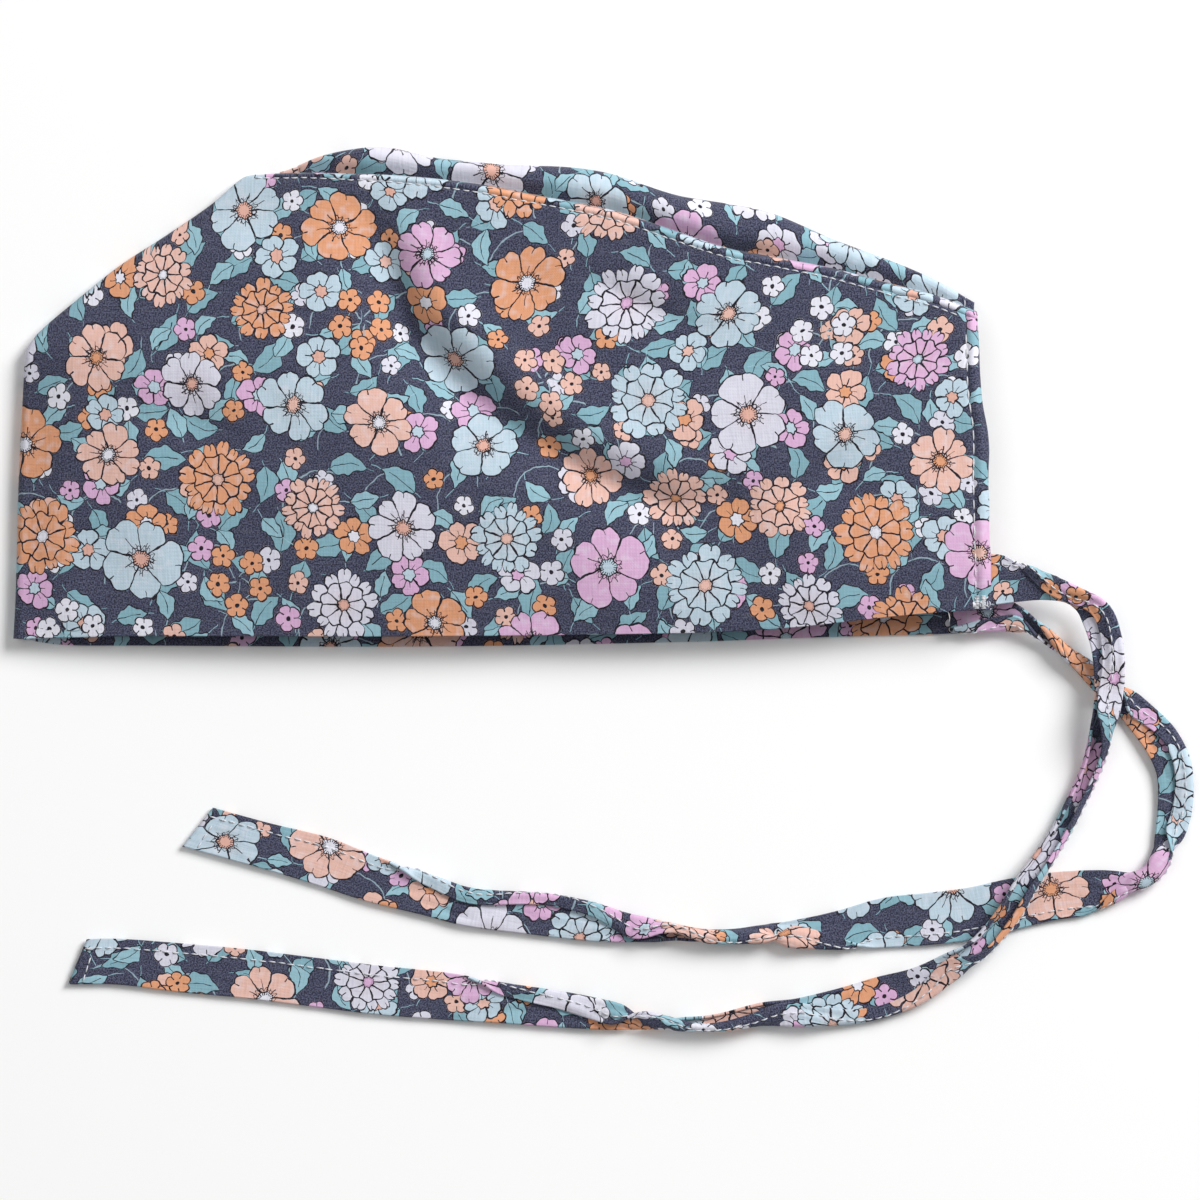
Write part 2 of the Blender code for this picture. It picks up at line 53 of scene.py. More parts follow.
# %% [markdown]
# ## The camera
#
# The picture is taken from straight above. A camera close to the cloth would make the raised middle
# of the cap look larger than its edges. An orthographic camera would cure that, but it has no depth
# at all, so a long lens far above the table is used, as a product photographer would.

# %% Camera straight above the table
PICTURE_WIDTH = 0.360
PICTURE_MIDDLE = (0.0296, -0.0609)
CAMERA_HEIGHT = 3.0

lens = bpy.data.cameras.new("table_camera")
lens.lens = lens.sensor_width * CAMERA_HEIGHT / PICTURE_WIDTH
lens.clip_end = 10.0
camera = bpy.data.objects.new("table_camera", lens)
camera.location = (*PICTURE_MIDDLE, CAMERA_HEIGHT)
scene.collection.objects.link(camera)
scene.camera = camera
print(f"A {lens.lens:.0f} mm lens at {CAMERA_HEIGHT} m sees {PICTURE_WIDTH * 1000:.0f} mm of table")

# %% [markdown]
# ## Curves through a few chosen values
#
# Cloth has no corners, so every outline and every height below is a smooth curve through a few chosen
# values. A Bezier curve could hold them, but then each point would need two handles. The
# curve here works out its own slopes from the neighbours of each value, and numpy reads it at
# thousands of places at once.

# %% Smooth curves
def smooth_curve(keys, values, at):
    """A smooth curve through the values, read at many places."""
    keys, values, at = (np.asarray(a, float) for a in (keys, values, at))
    last = len(keys) - 1
    i = np.clip(np.searchsorted(keys, at, side="right") - 1, 0, last - 1)
    low = np.maximum(np.arange(last + 1) - 1, 0)
    high = np.minimum(np.arange(last + 1) + 1, last)
    slopes = (values[high] - values[low]) / (keys[high] - keys[low])
    span = keys[i + 1] - keys[i]
    t = np.clip((at - keys[i]) / span, 0.0, 1.0)
    rest = 1.0 - t
    ends = values[i] * (1.0 + 2.0 * t) * rest**2 + values[i + 1] * (3.0 - 2.0 * t) * t**2
    return ends + (slopes[i] * rest - slopes[i + 1] * t) * t * rest * span


def mix(a, b, share):
    return a + (b - a) * share


def ease(share):
    """Goes from 0 to 1 with no jerk at either end."""
    share = np.clip(share, 0.0, 1.0)
    return share * share * (3.0 - 2.0 * share)


def ease_out(share, power=2.0):
    """Rises steeply from 0 and levels off at 1."""
    return 1.0 - (1.0 - np.clip(share, 0.0, 1.0)) ** power


def lumps(x, y, size, layer):
    """Soft random lumps of one size, from -1 to 1. The layer picks a pattern, always the same one."""
    x, y = np.broadcast_arrays(x, y)
    flat = [noise.noise(Vector((a / size, b / size, layer))) for a, b in zip(x.ravel(), y.ravel())]
    return np.array(flat).reshape(x.shape)


print("Half way between 0 and 1, eased:", float(ease(0.5)))

# %% [markdown]
# ## Cloth from a grid
#
# Every piece is a grid of points that a formula has bent to shape. The grid gives even faces, and it
# remembers where each point lay before the cloth was bent: those flat coordinates, in metres, become
# a UV map, so that the print and the weave follow the cloth into its folds. The Solidify modifier
# gives the sheet its thickness.

# %% Make a sheet of cloth
def cloth_piece(name, points, spread, thickness, seam_row=None, beyond=None):
    """Turns a grid of points and their flat coordinates into a sheet of cloth. Where a sewn seam
    breaks the print, the faces past its row take their coordinates from beyond."""
    rows, columns = points.shape[:2]
    corner = np.arange(rows * columns).reshape(rows, columns)
    quads = np.stack([corner[:-1, :-1], corner[1:, :-1], corner[1:, 1:], corner[:-1, 1:]], -1)
    quads = quads.reshape(-1, 4)
    mesh = bpy.data.meshes.new(name)
    mesh.from_pydata(points.reshape(-1, 3).tolist(), [], quads.tolist())
    flat = mesh.uv_layers.new(name="cloth")
    coordinates = spread.reshape(-1, 2)[quads]
    if beyond is not None:
        past = np.arange(len(quads)) >= seam_row * (columns - 1)
        coordinates[past] = beyond.reshape(-1, 2)[quads[past]]
    flat.data.foreach_set("uv", coordinates.ravel())
    mesh.shade_smooth()
    piece = bpy.data.objects.new(name, mesh)
    scene.collection.objects.link(piece)
    solid = piece.modifiers.new("Thickness", "SOLIDIFY")
    solid.thickness = thickness
    solid.offset = 0.0
    print(f"{name}: {len(quads)} faces before its thickness")
    return piece


def facing(points):
    """The way that each point of a grid faces."""
    along, across = np.gradient(points, axis=0), np.gradient(points, axis=1)
    normals = np.cross(along, across)
    return normals / np.linalg.norm(normals, axis=-1, keepdims=True)

# %% [markdown]
# ## Stitches
#
# A sewing machine leaves a row of short threads that dive into the cloth at both ends. A dashed line
# in the material would be cheaper, but it would lie flat. Here each stitch is a small arched tube, and
# all the stitches of one seam are joined into one mesh.

# %% Make rows of stitches
STITCH_LENGTH = 0.0023
STITCH_GAP = 0.0006
THREAD_RADIUS = 0.00023
STITCH_RINGS = 5
STITCH_SIDES = 6

# In thread radii: how high a stitch arches, how deep its ends go in, and how far it may lie aside
ARCH_HEIGHT = 1.9
ENDS_SUNK = 0.6
LIES_ASIDE = 0.4

# As shares: the thread's radius at a stitch's ends, how far its start may be off, and its length
ENDS_THIN = 0.55
STARTS_OFF = 0.3
LENGTH_VARIES = (0.9, 1.05)


def stitches(name, lines, length=STITCH_LENGTH, gap=STITCH_GAP, radius=THREAD_RADIUS):
    """Sews along lines of points on the cloth. Each line comes with the way that the cloth faces."""
    rng = np.random.default_rng(len(name))
    arch = np.linspace(0.0, 1.0, STITCH_RINGS)
    spin = np.arange(STITCH_SIDES) * math.tau / STITCH_SIDES
    points, faces = [], []
    for line, normals in lines:
        run = np.concatenate([[0.0], np.cumsum(np.linalg.norm(np.diff(line, axis=0), axis=1))])
        for start in np.arange(gap, run[-1] - length, length + gap):
            start += rng.uniform(-STARTS_OFF, STARTS_OFF) * gap
            at = start + arch * length * rng.uniform(*LENGTH_VARIES)
            place = np.stack([np.interp(at, run, line[:, k]) for k in range(3)], -1)
            up = np.stack([np.interp(at, run, normals[:, k]) for k in range(3)], -1)
            up /= np.linalg.norm(up, axis=1, keepdims=True)
            ahead = np.gradient(place, axis=0)
            ahead /= np.linalg.norm(ahead, axis=1, keepdims=True)
            side = np.cross(ahead, up)
            rise = radius * (ARCH_HEIGHT * np.sin(math.pi * arch) - ENDS_SUNK)
            thin = radius * mix(ENDS_THIN, 1.0, np.sin(math.pi * arch))
            aside = side * rng.uniform(-LIES_ASIDE, LIES_ASIDE) * radius
            place = place + up * rise[:, None] + aside
            ring = np.cos(spin)[None, :, None] * side[:, None, :]
            ring = ring + np.sin(spin)[None, :, None] * up[:, None, :]
            base = len(points)
            points.extend((place[:, None, :] + ring * thin[:, None, None]).reshape(-1, 3).tolist())
            for i in range(STITCH_RINGS - 1):
                for j in range(STITCH_SIDES):
                    k = (j + 1) % STITCH_SIDES
                    low, high = base + i * STITCH_SIDES, base + (i + 1) * STITCH_SIDES
                    faces.append((low + j, low + k, high + k, high + j))
            faces.append(tuple(base + j for j in reversed(range(STITCH_SIDES))))
            faces.append(tuple(base + (STITCH_RINGS - 1) * STITCH_SIDES + j for j in range(STITCH_SIDES)))
    mesh = bpy.data.meshes.new(name)
    mesh.from_pydata(points, [], faces)
    mesh.shade_smooth()
    piece = bpy.data.objects.new(name, mesh)
    scene.collection.objects.link(piece)
    print(f"Stitches in {name}: {len(points) // (STITCH_RINGS * STITCH_SIDES)}")
    return piece

# %% [markdown]
# ## The ties
#
# Each tie is a strip of cloth folded to 16 mm, stitched along its open edge and across its end. It
# lies where it fell: flat in places, folded over lengthwise in others, and curled into a loose tube
# where it turns over. A cloth simulation would find its own way down, and never the same as in the
# picture, so the route is a list of given points. The strip never stretches: where it looks
# narrow, the rest of its width is folded or curled, and a formula works out that cross-section.

# %% Routes of the two ties
CAP_LENGTH = 0.2930
HEM_RISE = 0.0087
CAP_MIDDLE = (0.1465, 0.07245)
BACK_CORNER = (CAP_LENGTH - CAP_MIDDLE[0], HEM_RISE - CAP_MIDDLE[1])

# Metres from the back corner, share of the width that shows, roll in degrees, share of the height of
# its root, and how many ties it lies on
TIE_LEFT_ROUTE = (
    (-0.0112, 0.0078, 0.95, 0, 1.00, 0),
    (0.0003, 0.0090, 1.00, 0, 0.98, 0),
    (0.0090, 0.0084, 0.80, 8, 0.86, 0),
    (0.0168, 0.0069, 0.60, 30, 0.66, 0),
    (0.0252, 0.0039, 0.55, 55, 0.40, 0.5),
    (0.0309, -0.0006, 0.65, 22, 0.18, 1),
    (0.0342, -0.0090, 0.62, 10, 0.06, 1),
    (0.0354, -0.0186, 0.58, 6, 0.00, 1),
    (0.0348, -0.0285, 0.52, 6, 0.00, 1),
    (0.0330, -0.0375, 0.44, 8, 0.00, 0.5),
    (0.0306, -0.0465, 0.36, 8, 0.00, 0),
    (0.0267, -0.0555, 0.34, 8, 0.00, 0),
    (0.0210, -0.0666, 0.34, 6, 0.00, 0),
    (0.0156, -0.0750, 0.36, 4, 0.00, 0.6),
    (0.0105, -0.0825, 0.42, 0, 0.00, 1),
    (0.0051, -0.0915, 0.42, 0, 0.00, 1),
    (-0.0036, -0.1014, 0.40, 0, 0.00, 1),
    (-0.0132, -0.1077, 0.56, 0, 0.00, 1),
    (-0.0222, -0.1128, 0.70, 0, 0.00, 0.5),
    (-0.0327, -0.1161, 0.78, 0, 0.00, 0),
    (-0.0435, -0.1188, 0.72, 0, 0.00, 0),
    (-0.0567, -0.1206, 0.56, 10, 0.00, 0),
    (-0.0681, -0.1213, 0.46, 25, 0.00, 0),
    (-0.0801, -0.1236, 0.42, 40, 0.00, 0),
    (-0.0918, -0.1243, 0.34, 70, 0.00, 0),
    (-0.1017, -0.1233, 0.42, 140, 0.00, 0),
    (-0.1137, -0.1218, 0.56, 170, 0.00, 0),
    (-0.1287, -0.1200, 0.68, 180, 0.00, 0),
    (-0.1452, -0.1182, 0.76, 180, 0.00, 0),
    (-0.1617, -0.1161, 0.90, 180, 0.00, 0),
    (-0.1842, -0.1140, 0.94, 180, 0.00, 0),
    (-0.2037, -0.1116, 0.94, 180, 0.00, 0),
    (-0.2232, -0.1092, 0.94, 180, 0.00, 0),
    (-0.2427, -0.1074, 0.94, 180, 0.00, 0),
    (-0.2607, -0.1056, 0.88, 180, 0.00, 0),
    (-0.2736, -0.1056, 0.87, 180, 0.00, 0),
)
TIE_RIGHT_ROUTE = (
    (-0.0118, -0.0003, 0.84, 0, 1.0, 0),
    (-0.0012, -0.0009, 0.76, 0, 1.0, 0),
    (0.0069, -0.0027, 0.60, 25, 0.7, 0),
    (0.0141, -0.0060, 0.42, 45, 0.3, 0),
    (0.0204, -0.0108, 0.30, 80, 0.0, 0),
    (0.0288, -0.0177, 0.34, 172, 0.0, 0),
    (0.0342, -0.0225, 0.46, 180, 0.0, 0),
    (0.0402, -0.0273, 0.52, 180, 0.0, 0),
    (0.0456, -0.0327, 0.62, 180, 0.0, 0),
    (0.0513, -0.0396, 0.70, 180, 0.0, 0),
    (0.0549, -0.0474, 0.68, 180, 0.0, 0),
    (0.0555, -0.0570, 0.66, 180, 0.0, 0),
    (0.0543, -0.0657, 0.60, 180, 0.0, 0),
    (0.0519, -0.0735, 0.44, 180, 0.0, 0),
    (0.0483, -0.0790, 0.34, 180, 0.0, 0),
    (0.0432, -0.0816, 0.36, 180, 0.0, 0),
    (0.0378, -0.0831, 0.66, 180, 0.0, 0),
    (0.0288, -0.0849, 0.88, 180, 0.0, 0),
    (0.0183, -0.0861, 0.92, 180, 0.0, 0),
    (0.0072, -0.0882, 0.98, 180, 0.0, 0),
    (-0.0057, -0.0912, 1.00, 180, 0.0, 0),
    (-0.0177, -0.0927, 1.00, 180, 0.0, 0),
    (-0.0312, -0.0939, 0.96, 180, 0.0, 0),
    (-0.0438, -0.0960, 0.78, 180, 0.0, 0),
    (-0.0567, -0.0972, 0.58, 190, 0.0, 0),
    (-0.0687, -0.0975, 0.44, 215, 0.0, 0),
    (-0.0822, -0.0981, 0.30, 250, 0.0, 0),
    (-0.0951, -0.0966, 0.40, 320, 0.0, 0),
    (-0.1068, -0.0957, 0.54, 348, 0.0, 0),
    (-0.1191, -0.0937, 0.74, 360, 0.0, 0),
    (-0.1347, -0.0915, 0.80, 360, 0.0, 0),
    (-0.1557, -0.0894, 0.72, 360, 0.0, 0),
    (-0.1692, -0.0855, 0.78, 360, 0.0, 0),
    (-0.1857, -0.0807, 0.88, 360, 0.0, 0),
    (-0.2007, -0.0753, 0.94, 360, 0.0, 0),
    (-0.2172, -0.0708, 0.88, 360, 0.0, 0),
    (-0.2376, -0.0652, 0.88, 360, 0.0, 0),
)
print(f"The routes have {len(TIE_LEFT_ROUTE)} and {len(TIE_RIGHT_ROUTE)} points")

# %% [markdown]
# ## Even steps along a route
#
# The points of a route are close together where the tie bends, and far apart where it runs straight.
# Cloth needs even steps instead, so the curve through the points is measured and cut into stations of
# equal length. Where one tie lies on the other, the lower one's height is looked up near each station,
# and smoothed, because cloth bridges a step and doesn't follow it down.

# %% Stations, smoothing and the tie below
TIE_WIDTH = 0.0160
TIE_SPACING = 0.0012
ROUTE_FINENESS = 4000
UNDER_REACH = 0.55
HUMP_REACH = 9


def stations(route):
    """Evenly spaced stations along a route, and how far along each one is."""
    fine = np.linspace(0.0, len(route) - 1.0, ROUTE_FINENESS)
    keys = np.arange(len(route))
    x, y = (smooth_curve(keys, [row[k] for row in route], fine) for k in (0, 1))
    run = np.concatenate([[0.0], np.cumsum(np.hypot(np.diff(x), np.diff(y)))])
    distance = np.linspace(0.0, run[-1], round(run[-1] / TIE_SPACING) + 1)
    return np.interp(distance, run, fine), distance


def smoothed(values, reach):
    """Averages each point with its neighbours along the strip."""
    kernel = np.hanning(2 * reach + 3)[1:-1]
    kernel /= kernel.sum()
    padded = np.pad(values, ((reach, reach), (0, 0)), mode="edge")
    return np.stack([np.convolve(column, kernel, mode="valid") for column in padded.T], -1)


def tops_near(middle, below):
    """How high the tie below reaches, near each point of a route."""
    spots = below[..., 0] + 1j * below[..., 1]
    near = TIE_WIDTH * UNDER_REACH
    tops = [below[abs(spots - place) < near][:, 2].max(initial=0.0) for place in middle]
    padded = np.pad(tops, HUMP_REACH, mode="edge")
    return np.array([padded[i : i + 2 * HUMP_REACH + 1].max() for i in range(len(tops))])


for name, route in (("left", TIE_LEFT_ROUTE), ("right", TIE_RIGHT_ROUTE)):
    print(f"The {name} tie has {len(stations(route)[0])} stations")

# %% [markdown]
# ## The cross-section of a tie
#
# At each station the strip has a cross-section, drawn as forty short steps, each in its own direction.
# Where all the steps go the same way, the strip lies flat. A half turn near one edge folds a flap over,
# and a steady turn all the way across curls the strip into a tube. The section is then rolled by the
# route's angle, pressed down by its own weight, and laid on the table or on the tie below. A curve
# object could carry one section along a path, but not one that changes so much on its way.

# %% Fold and curl a cross-section
TIE_THICKNESS = 0.0009
TIE_ACROSS = 40
TIE_LOFT = 0.0034
SMOOTH_REACH = 5
NARROWEST = 0.26
SQUEEZE = (0.6, 1.4)

# Shares of the strip's width, and turns in radians
FLAP_TURN = 0.13
FLAP_EASE = 0.07
FLAT_SLACK = 0.13
FLIP_STEEPNESS = 4.0
CURL_BELOW = 0.58
CURL_EASE = 0.20
CURL_TURN = 5.0
CURL_PRESSED = 0.55

tie_steps = np.linspace(0.0, 1.0, TIE_ACROSS + 1)[None, :]


def cross_sections(share, roll, flap_edge):
    """How far aside and how high each step is, at stations where a share of the width shows."""
    turn = np.radians(roll)
    flap = np.clip(1.0 - share, 0.0, 0.5)
    fold_over = math.pi * ease((flap - FLAT_SLACK) / FLAP_EASE)
    fold_over = fold_over * ease((tie_steps - 1.0 + flap) / FLAP_TURN + 0.5)
    curled = ease((CURL_BELOW - share) / CURL_EASE)
    upwards = np.clip(FLIP_STEEPNESS * np.cos(turn), -1.0, 1.0)
    heading = mix(upwards * fold_over, CURL_TURN * (tie_steps - 0.5), curled)
    step = TIE_WIDTH / TIE_ACROSS
    level = np.cumsum(np.cos(heading), axis=1) * step * flap_edge
    level -= (level.max(axis=1, keepdims=True) + level.min(axis=1, keepdims=True)) / 2.0
    upright = np.cumsum(np.sin(heading), axis=1) * step * mix(1.0, CURL_PRESSED, curled)

    sideways = level * np.cos(turn) - upright * np.sin(turn)
    height = level * np.sin(turn) + upright * np.cos(turn)
    height -= height.min(axis=1, keepdims=True)
    height *= TIE_LOFT / np.maximum(height.max(axis=1, keepdims=True), TIE_LOFT)
    extent = sideways.max(axis=1, keepdims=True) - sideways.min(axis=1, keepdims=True)
    sideways -= (sideways.max(axis=1, keepdims=True) + sideways.min(axis=1, keepdims=True)) / 2.0
    wanted = TIE_WIDTH * np.maximum(share * abs(np.cos(turn)), NARROWEST) - TIE_THICKNESS / 2.0
    sideways = sideways * np.clip(wanted / extent, *SQUEEZE)
    return smoothed(sideways, SMOOTH_REACH), smoothed(height, SMOOTH_REACH)


for shows in (0.95, 0.65, 0.35):
    high = cross_sections(np.full((20, 1), shows), np.zeros((20, 1)), 1)[1]
    print(f"Where {shows:.0%} of its width shows, a tie rises {high.max() * 1000:.1f} mm")

# %% [markdown]
# ## Laying the strips
#
# The sections are set side by side along the route, each square to the way that the strip runs. At
# the very end they slant, because the end was cut askew. The height adds up from what the strip lies
# on, the section itself, soft waves, and fine crumples that are strongest where it is folded or curled.
# The far tie is laid first, since the near one goes over it.

# %% Lay the two strips
TIE_ROOT_HEIGHTS = (0.0087, 0.0018)
TIE_GAP = 0.0004
STITCH_ROOM = 0.0004
END_SLANT = 0.42
END_REACH = 0.0120
WAVE_LENGTH = 0.013
WAVE_HEIGHT = 0.0006
WAVE_START = 0.02
CRUMPLE_LENGTH = 0.0120
CRUMPLE_WIDTH = 0.0024
CRUMPLE_HEIGHT = 0.0014
CRUMPLE_LEAST = 0.15
CRUMPLE_BELOW = 0.95
CRUMPLE_EASE = 0.35
PRINT_START_LEFT = (0.957, 0.336)
PRINT_START_RIGHT = (1.70, 0.72)


def strip(route, root_height, flap_edge, below=None):
    """The points of a tie, and their flat coordinates. It lies on the table, or on the tie below."""
    at, distance = stations(route)
    keys = np.arange(len(route))
    x, y, width, roll, rise, over = (smooth_curve(keys, [row[k] for row in route], at) for k in range(6))
    share = width[:, None]
    sideways, height = cross_sections(share, roll[:, None], flap_edge)

    run = np.gradient(x) + 1j * np.gradient(y)
    run /= abs(run)
    middle = complex(*BACK_CORNER) + x + 1j * y
    from_end = abs(middle[-1] - middle)[:, None]
    slant = END_SLANT * sideways * ease(1.0 - from_end / END_REACH)
    place = middle[:, None] + 1j * run[:, None] * sideways + run[:, None] * slant

    lift = np.clip(rise, 0.0, None) * root_height
    if below is not None:
        hump = np.clip(over, 0.0, 1.0) * (tops_near(middle, below) + TIE_THICKNESS / 2.0 + TIE_GAP)
        lift = smoothed(np.maximum(lift, hump)[:, None], HUMP_REACH)[:, 0]
    waves = 0.5 + 0.5 * lumps(place.real, place.imag, WAVE_LENGTH, 3.0 + root_height * 1000.0)
    waves = waves * WAVE_HEIGHT * ease(distance / WAVE_START)[:, None]
    height = height + lift[:, None] + TIE_THICKNESS / 2.0 + STITCH_ROOM + waves

    along, across = distance[:, None], tie_steps * TIE_WIDTH
    crumple = 0.5 + 0.5 * lumps(along / CRUMPLE_LENGTH, across / CRUMPLE_WIDTH, 1.0, 5.0)
    folded = mix(CRUMPLE_LEAST, 1.0, ease((CRUMPLE_BELOW - share) / CRUMPLE_EASE))
    height = height + crumple * CRUMPLE_HEIGHT * folded
    spread = np.stack(np.broadcast_arrays(along, across), -1)
    return np.stack([place.real, place.imag, height], -1), spread


right_points, right_spread = strip(TIE_RIGHT_ROUTE, TIE_ROOT_HEIGHTS[1], -1)
left_points, left_spread = strip(TIE_LEFT_ROUTE, TIE_ROOT_HEIGHTS[0], 1, below=right_points)
tie_left = cloth_piece("tie_left_cloth", left_points, left_spread + PRINT_START_LEFT, TIE_THICKNESS)
tie_right = cloth_piece("tie_right_cloth", right_points, right_spread + PRINT_START_RIGHT, TIE_THICKNESS)

# %% [markdown]
# ## Sewing the ties
#
# A real tie is sewn shut along its open edge and across its end, and the thread shows on both faces.
# The stitches ride on the strip's own points, so they follow it through every fold. Then each tie and
# its stitches are hung from the frame's root, and the frame's own solid of that tie is hidden.

TIE_STITCH_INSET = 0.0031


def tie_stitches(name, points):
    """Rows of stitches along the open edge and across the end, seen on both faces."""
    normals = facing(points)
    j = round((1.0 - TIE_STITCH_INSET / TIE_WIDTH) * TIE_ACROSS)
    i = len(points) - 1 - round(TIE_STITCH_INSET / TIE_SPACING)
    lines = []
    for face in (-1.0, 1.0):
        raised = points + normals * face * TIE_THICKNESS / 2.0
        lines.append((raised[:, j], normals[:, j] * face))
        lines.append((raised[i, :j], normals[i, :j] * face))
    return stitches(name, lines)


left_stitches = tie_stitches("tie_left_stitches", left_points)
right_stitches = tie_stitches("tie_right_stitches", right_points)

ties = (
    (tie_left, left_points, left_stitches, "tie_left"),
    (tie_right, right_points, right_stitches, "tie_right"),
)
for piece, points, seam, node in ties:
    for each in (piece, seam):
        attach(each, "root")
    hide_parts(node)

# %% [markdown]
# ## The side band
#
# The band is one piece of cloth that goes round the head. Lying on its side, it is a flat sack: the far
# side lies on the table, the cloth turns up round the front fold, and the near side comes back over it
# on a cushion of air. Its edges, seen from above, are short tables of shares. Tables like
# these are easier to mend than the points of a drawn outline, because each line of them says what it
# is a share of.

# %% Tables of the band's edges
FRONT_FOLD_HEIGHT = 0.0867
FRONT_FOLD_LEAN = 0.0036
SLOPE_RUN = 0.0681
SLOPE_RISE = 0.0519
SLOPE_LEVEL_RUN = 0.0200
BACK_EDGE_HEIGHT = 0.0888
BACK_EDGE_LEAN = 0.0042
FAR_HEM_SHOW = 0.0067
FAR_BACK_INSET = 0.0020
FRONT_FOLD_THICKNESS = 0.0056
SLOPE_TOP_THICKNESS = 0.0050
CLOTH_WALL = 0.0014

FRONT_FOLD = {
    "up": (0.00, 0.14, 0.55, 0.83, 1.00),
    "lean": (0.00, 0.18, 0.45, 0.78, 1.00),
}
SLOPE = {
    "along": (0.00, 0.06, 0.22, 0.41, 0.62, 0.82, 0.95, 1.00),
    "rise": (0.00, 0.10, 0.28, 0.48, 0.66, 0.84, 0.98, 1.00),
}
SEAM_LINE = {
    "along": (
        0.00, 0.04, 0.08, 0.13, 0.18, 0.25, 0.32, 0.37, 0.44,
        0.50, 0.58, 0.65, 0.72, 0.80, 0.88, 0.94, 1.00,
    ),
    "fall": (
        0.00, -0.01, -0.01, 0.00, 0.01, 0.04, 0.09, 0.14, 0.21,
        0.28, 0.42, 0.54, 0.61, 0.69, 0.80, 0.88, 1.00,
    ),
    "crown": (
        0.02, 0.12, 0.38, 0.56, 0.64, 0.50, 0.52, 0.64, 0.77,
        0.83, 0.82, 1.00, 0.93, 0.66, 0.52, 0.35, 0.22,
    ),
}
BACK_EDGE = {
    "up": (0.00, 0.20, 0.48, 0.62, 0.75, 1.00),
    "lean": (0.00, 0.13, 0.26, 0.38, 0.76, 1.00),
}
HEM = {
    "along": (0.00, 0.04, 0.12, 0.42, 0.70, 0.79, 0.89, 0.95, 1.00),
    "rise": (0.00, 0.05, 0.10, 0.10, 0.22, 0.38, 0.74, 0.92, 1.00),
    "show": (0.00, 0.32, 0.42, 0.47, 0.42, 0.49, 0.82, 1.00, 1.00),
}


print(f"The seam line goes through {len(SEAM_LINE['along'])} values")

# %% [markdown]
# ## A patch between four edges
#
# Each edge becomes a function that gives a place for a share of the way along it. Any place of the
# band is then a blend across, from hem to seam, and a blend along, from front to back, less what both
# have in common. Places seen from above are written as complex numbers, x + iy, because numpy adds,
# turns and mixes those in one go. Edge loops bridged by hand would give one mesh, but the seams and
# the stitches need places between its points too.

# %% Edges and places of the band, seen from above
def read(table, column, at):
    """A table's column, read at shares of the way along its first column."""
    keys = next(iter(table.values()))
    return smooth_curve(keys, table[column], at)


SLOPE_LENGTH = math.hypot(SLOPE_RUN, SLOPE_RISE)
FOLD_SHARE = FRONT_FOLD_HEIGHT / (FRONT_FOLD_HEIGHT + SLOPE_LENGTH)
SEAM_FALL = FRONT_FOLD_HEIGHT + SLOPE_RISE - HEM_RISE - BACK_EDGE_HEIGHT


def front_outline(t):
    """The front edge: up the fold, then over the sewn slope."""
    up = np.clip(t / FOLD_SHARE, 0.0, 1.0)
    share = np.clip((t - FOLD_SHARE) / (1.0 - FOLD_SHARE), 0.0, 1.0)
    x = FRONT_FOLD_LEAN * read(FRONT_FOLD, "lean", up) + SLOPE_RUN * share
    return x + 1j * (FRONT_FOLD_HEIGHT * up + SLOPE_RISE * read(SLOPE, "rise", share))


def front_outward(t):
    """The way out of the front edge, which turns level where the seam begins."""
    step = 0.02
    along = front_outline(np.minimum(t + step, 1.0)) - front_outline(np.maximum(t - step, 0.0))
    out = 1j * along / abs(along)
    level_share = SLOPE_LEVEL_RUN / SLOPE_RUN * (1.0 - FOLD_SHARE)
    out = mix(out, -1.0, ease((t - 1.0 + level_share) / level_share))
    return out / abs(out)


def fold_radius(t):
    """Half the height at which the cloth comes back over itself at the front edge."""
    share = ease((t - FOLD_SHARE) / (1.0 - FOLD_SHARE))
    return (mix(FRONT_FOLD_THICKNESS, SLOPE_TOP_THICKNESS, share) - CLOTH_WALL) / 2.0


def front_inset(t):
    return front_outline(t) - front_outward(t) * (fold_radius(t) + CLOTH_WALL / 2.0)


def far_hem_drop(s):
    return FAR_HEM_SHOW * read(HEM, "show", s)


def back_outline(t, far):
    x = CAP_LENGTH - BACK_EDGE_LEAN * read(BACK_EDGE, "lean", t) - FAR_BACK_INSET * far
    return x + 1j * (HEM_RISE + BACK_EDGE_HEIGHT * t - far_hem_drop(1.0) * (1.0 - t) * far)


def hem_outline(s, far):
    line = mix(front_inset(np.zeros(1)), back_outline(np.zeros(1), far), s)
    rise = HEM_RISE * (read(HEM, "rise", s) - s)
    return line + 1j * (rise - far * (far_hem_drop(s) - far_hem_drop(1.0) * s))


def seam_outline(s, far):
    line = mix(front_inset(np.ones(1)), back_outline(np.ones(1), far), s)
    return line - 1j * SEAM_FALL * (read(SEAM_LINE, "fall", s) - s)


def band_plan(s, t, far=0.0):
    """A place of the band: s runs from front to back, and t from hem to seam."""
    low, high = np.zeros(1), np.ones(1)
    across = mix(hem_outline(s, far), seam_outline(s, far), t)
    up = mix(front_inset(t), back_outline(t, far), s)
    hem_line = mix(front_inset(low), back_outline(low, far), s)
    seam_line = mix(front_inset(high), back_outline(high, far), s)
    return across + up - mix(hem_line, seam_line, t)


print(f"The band is {CAP_LENGTH * 1000:.0f} mm long, and its seam falls {SEAM_FALL * 1000:.0f} mm")

# %% [markdown]
# ## The lay of the near side
#
# The near side bulges over the cushion of air: steeply up from the front fold, highest in the middle,
# lower at the seam and the hem. Creases are sunk into it along chains of points, each with a steep
# side, a gentle side and a low lip beyond it, as pushed cloth has. Sculpting would be quicker to do
# once, but a crease in a table can be moved, and the seams and stitches move with it.

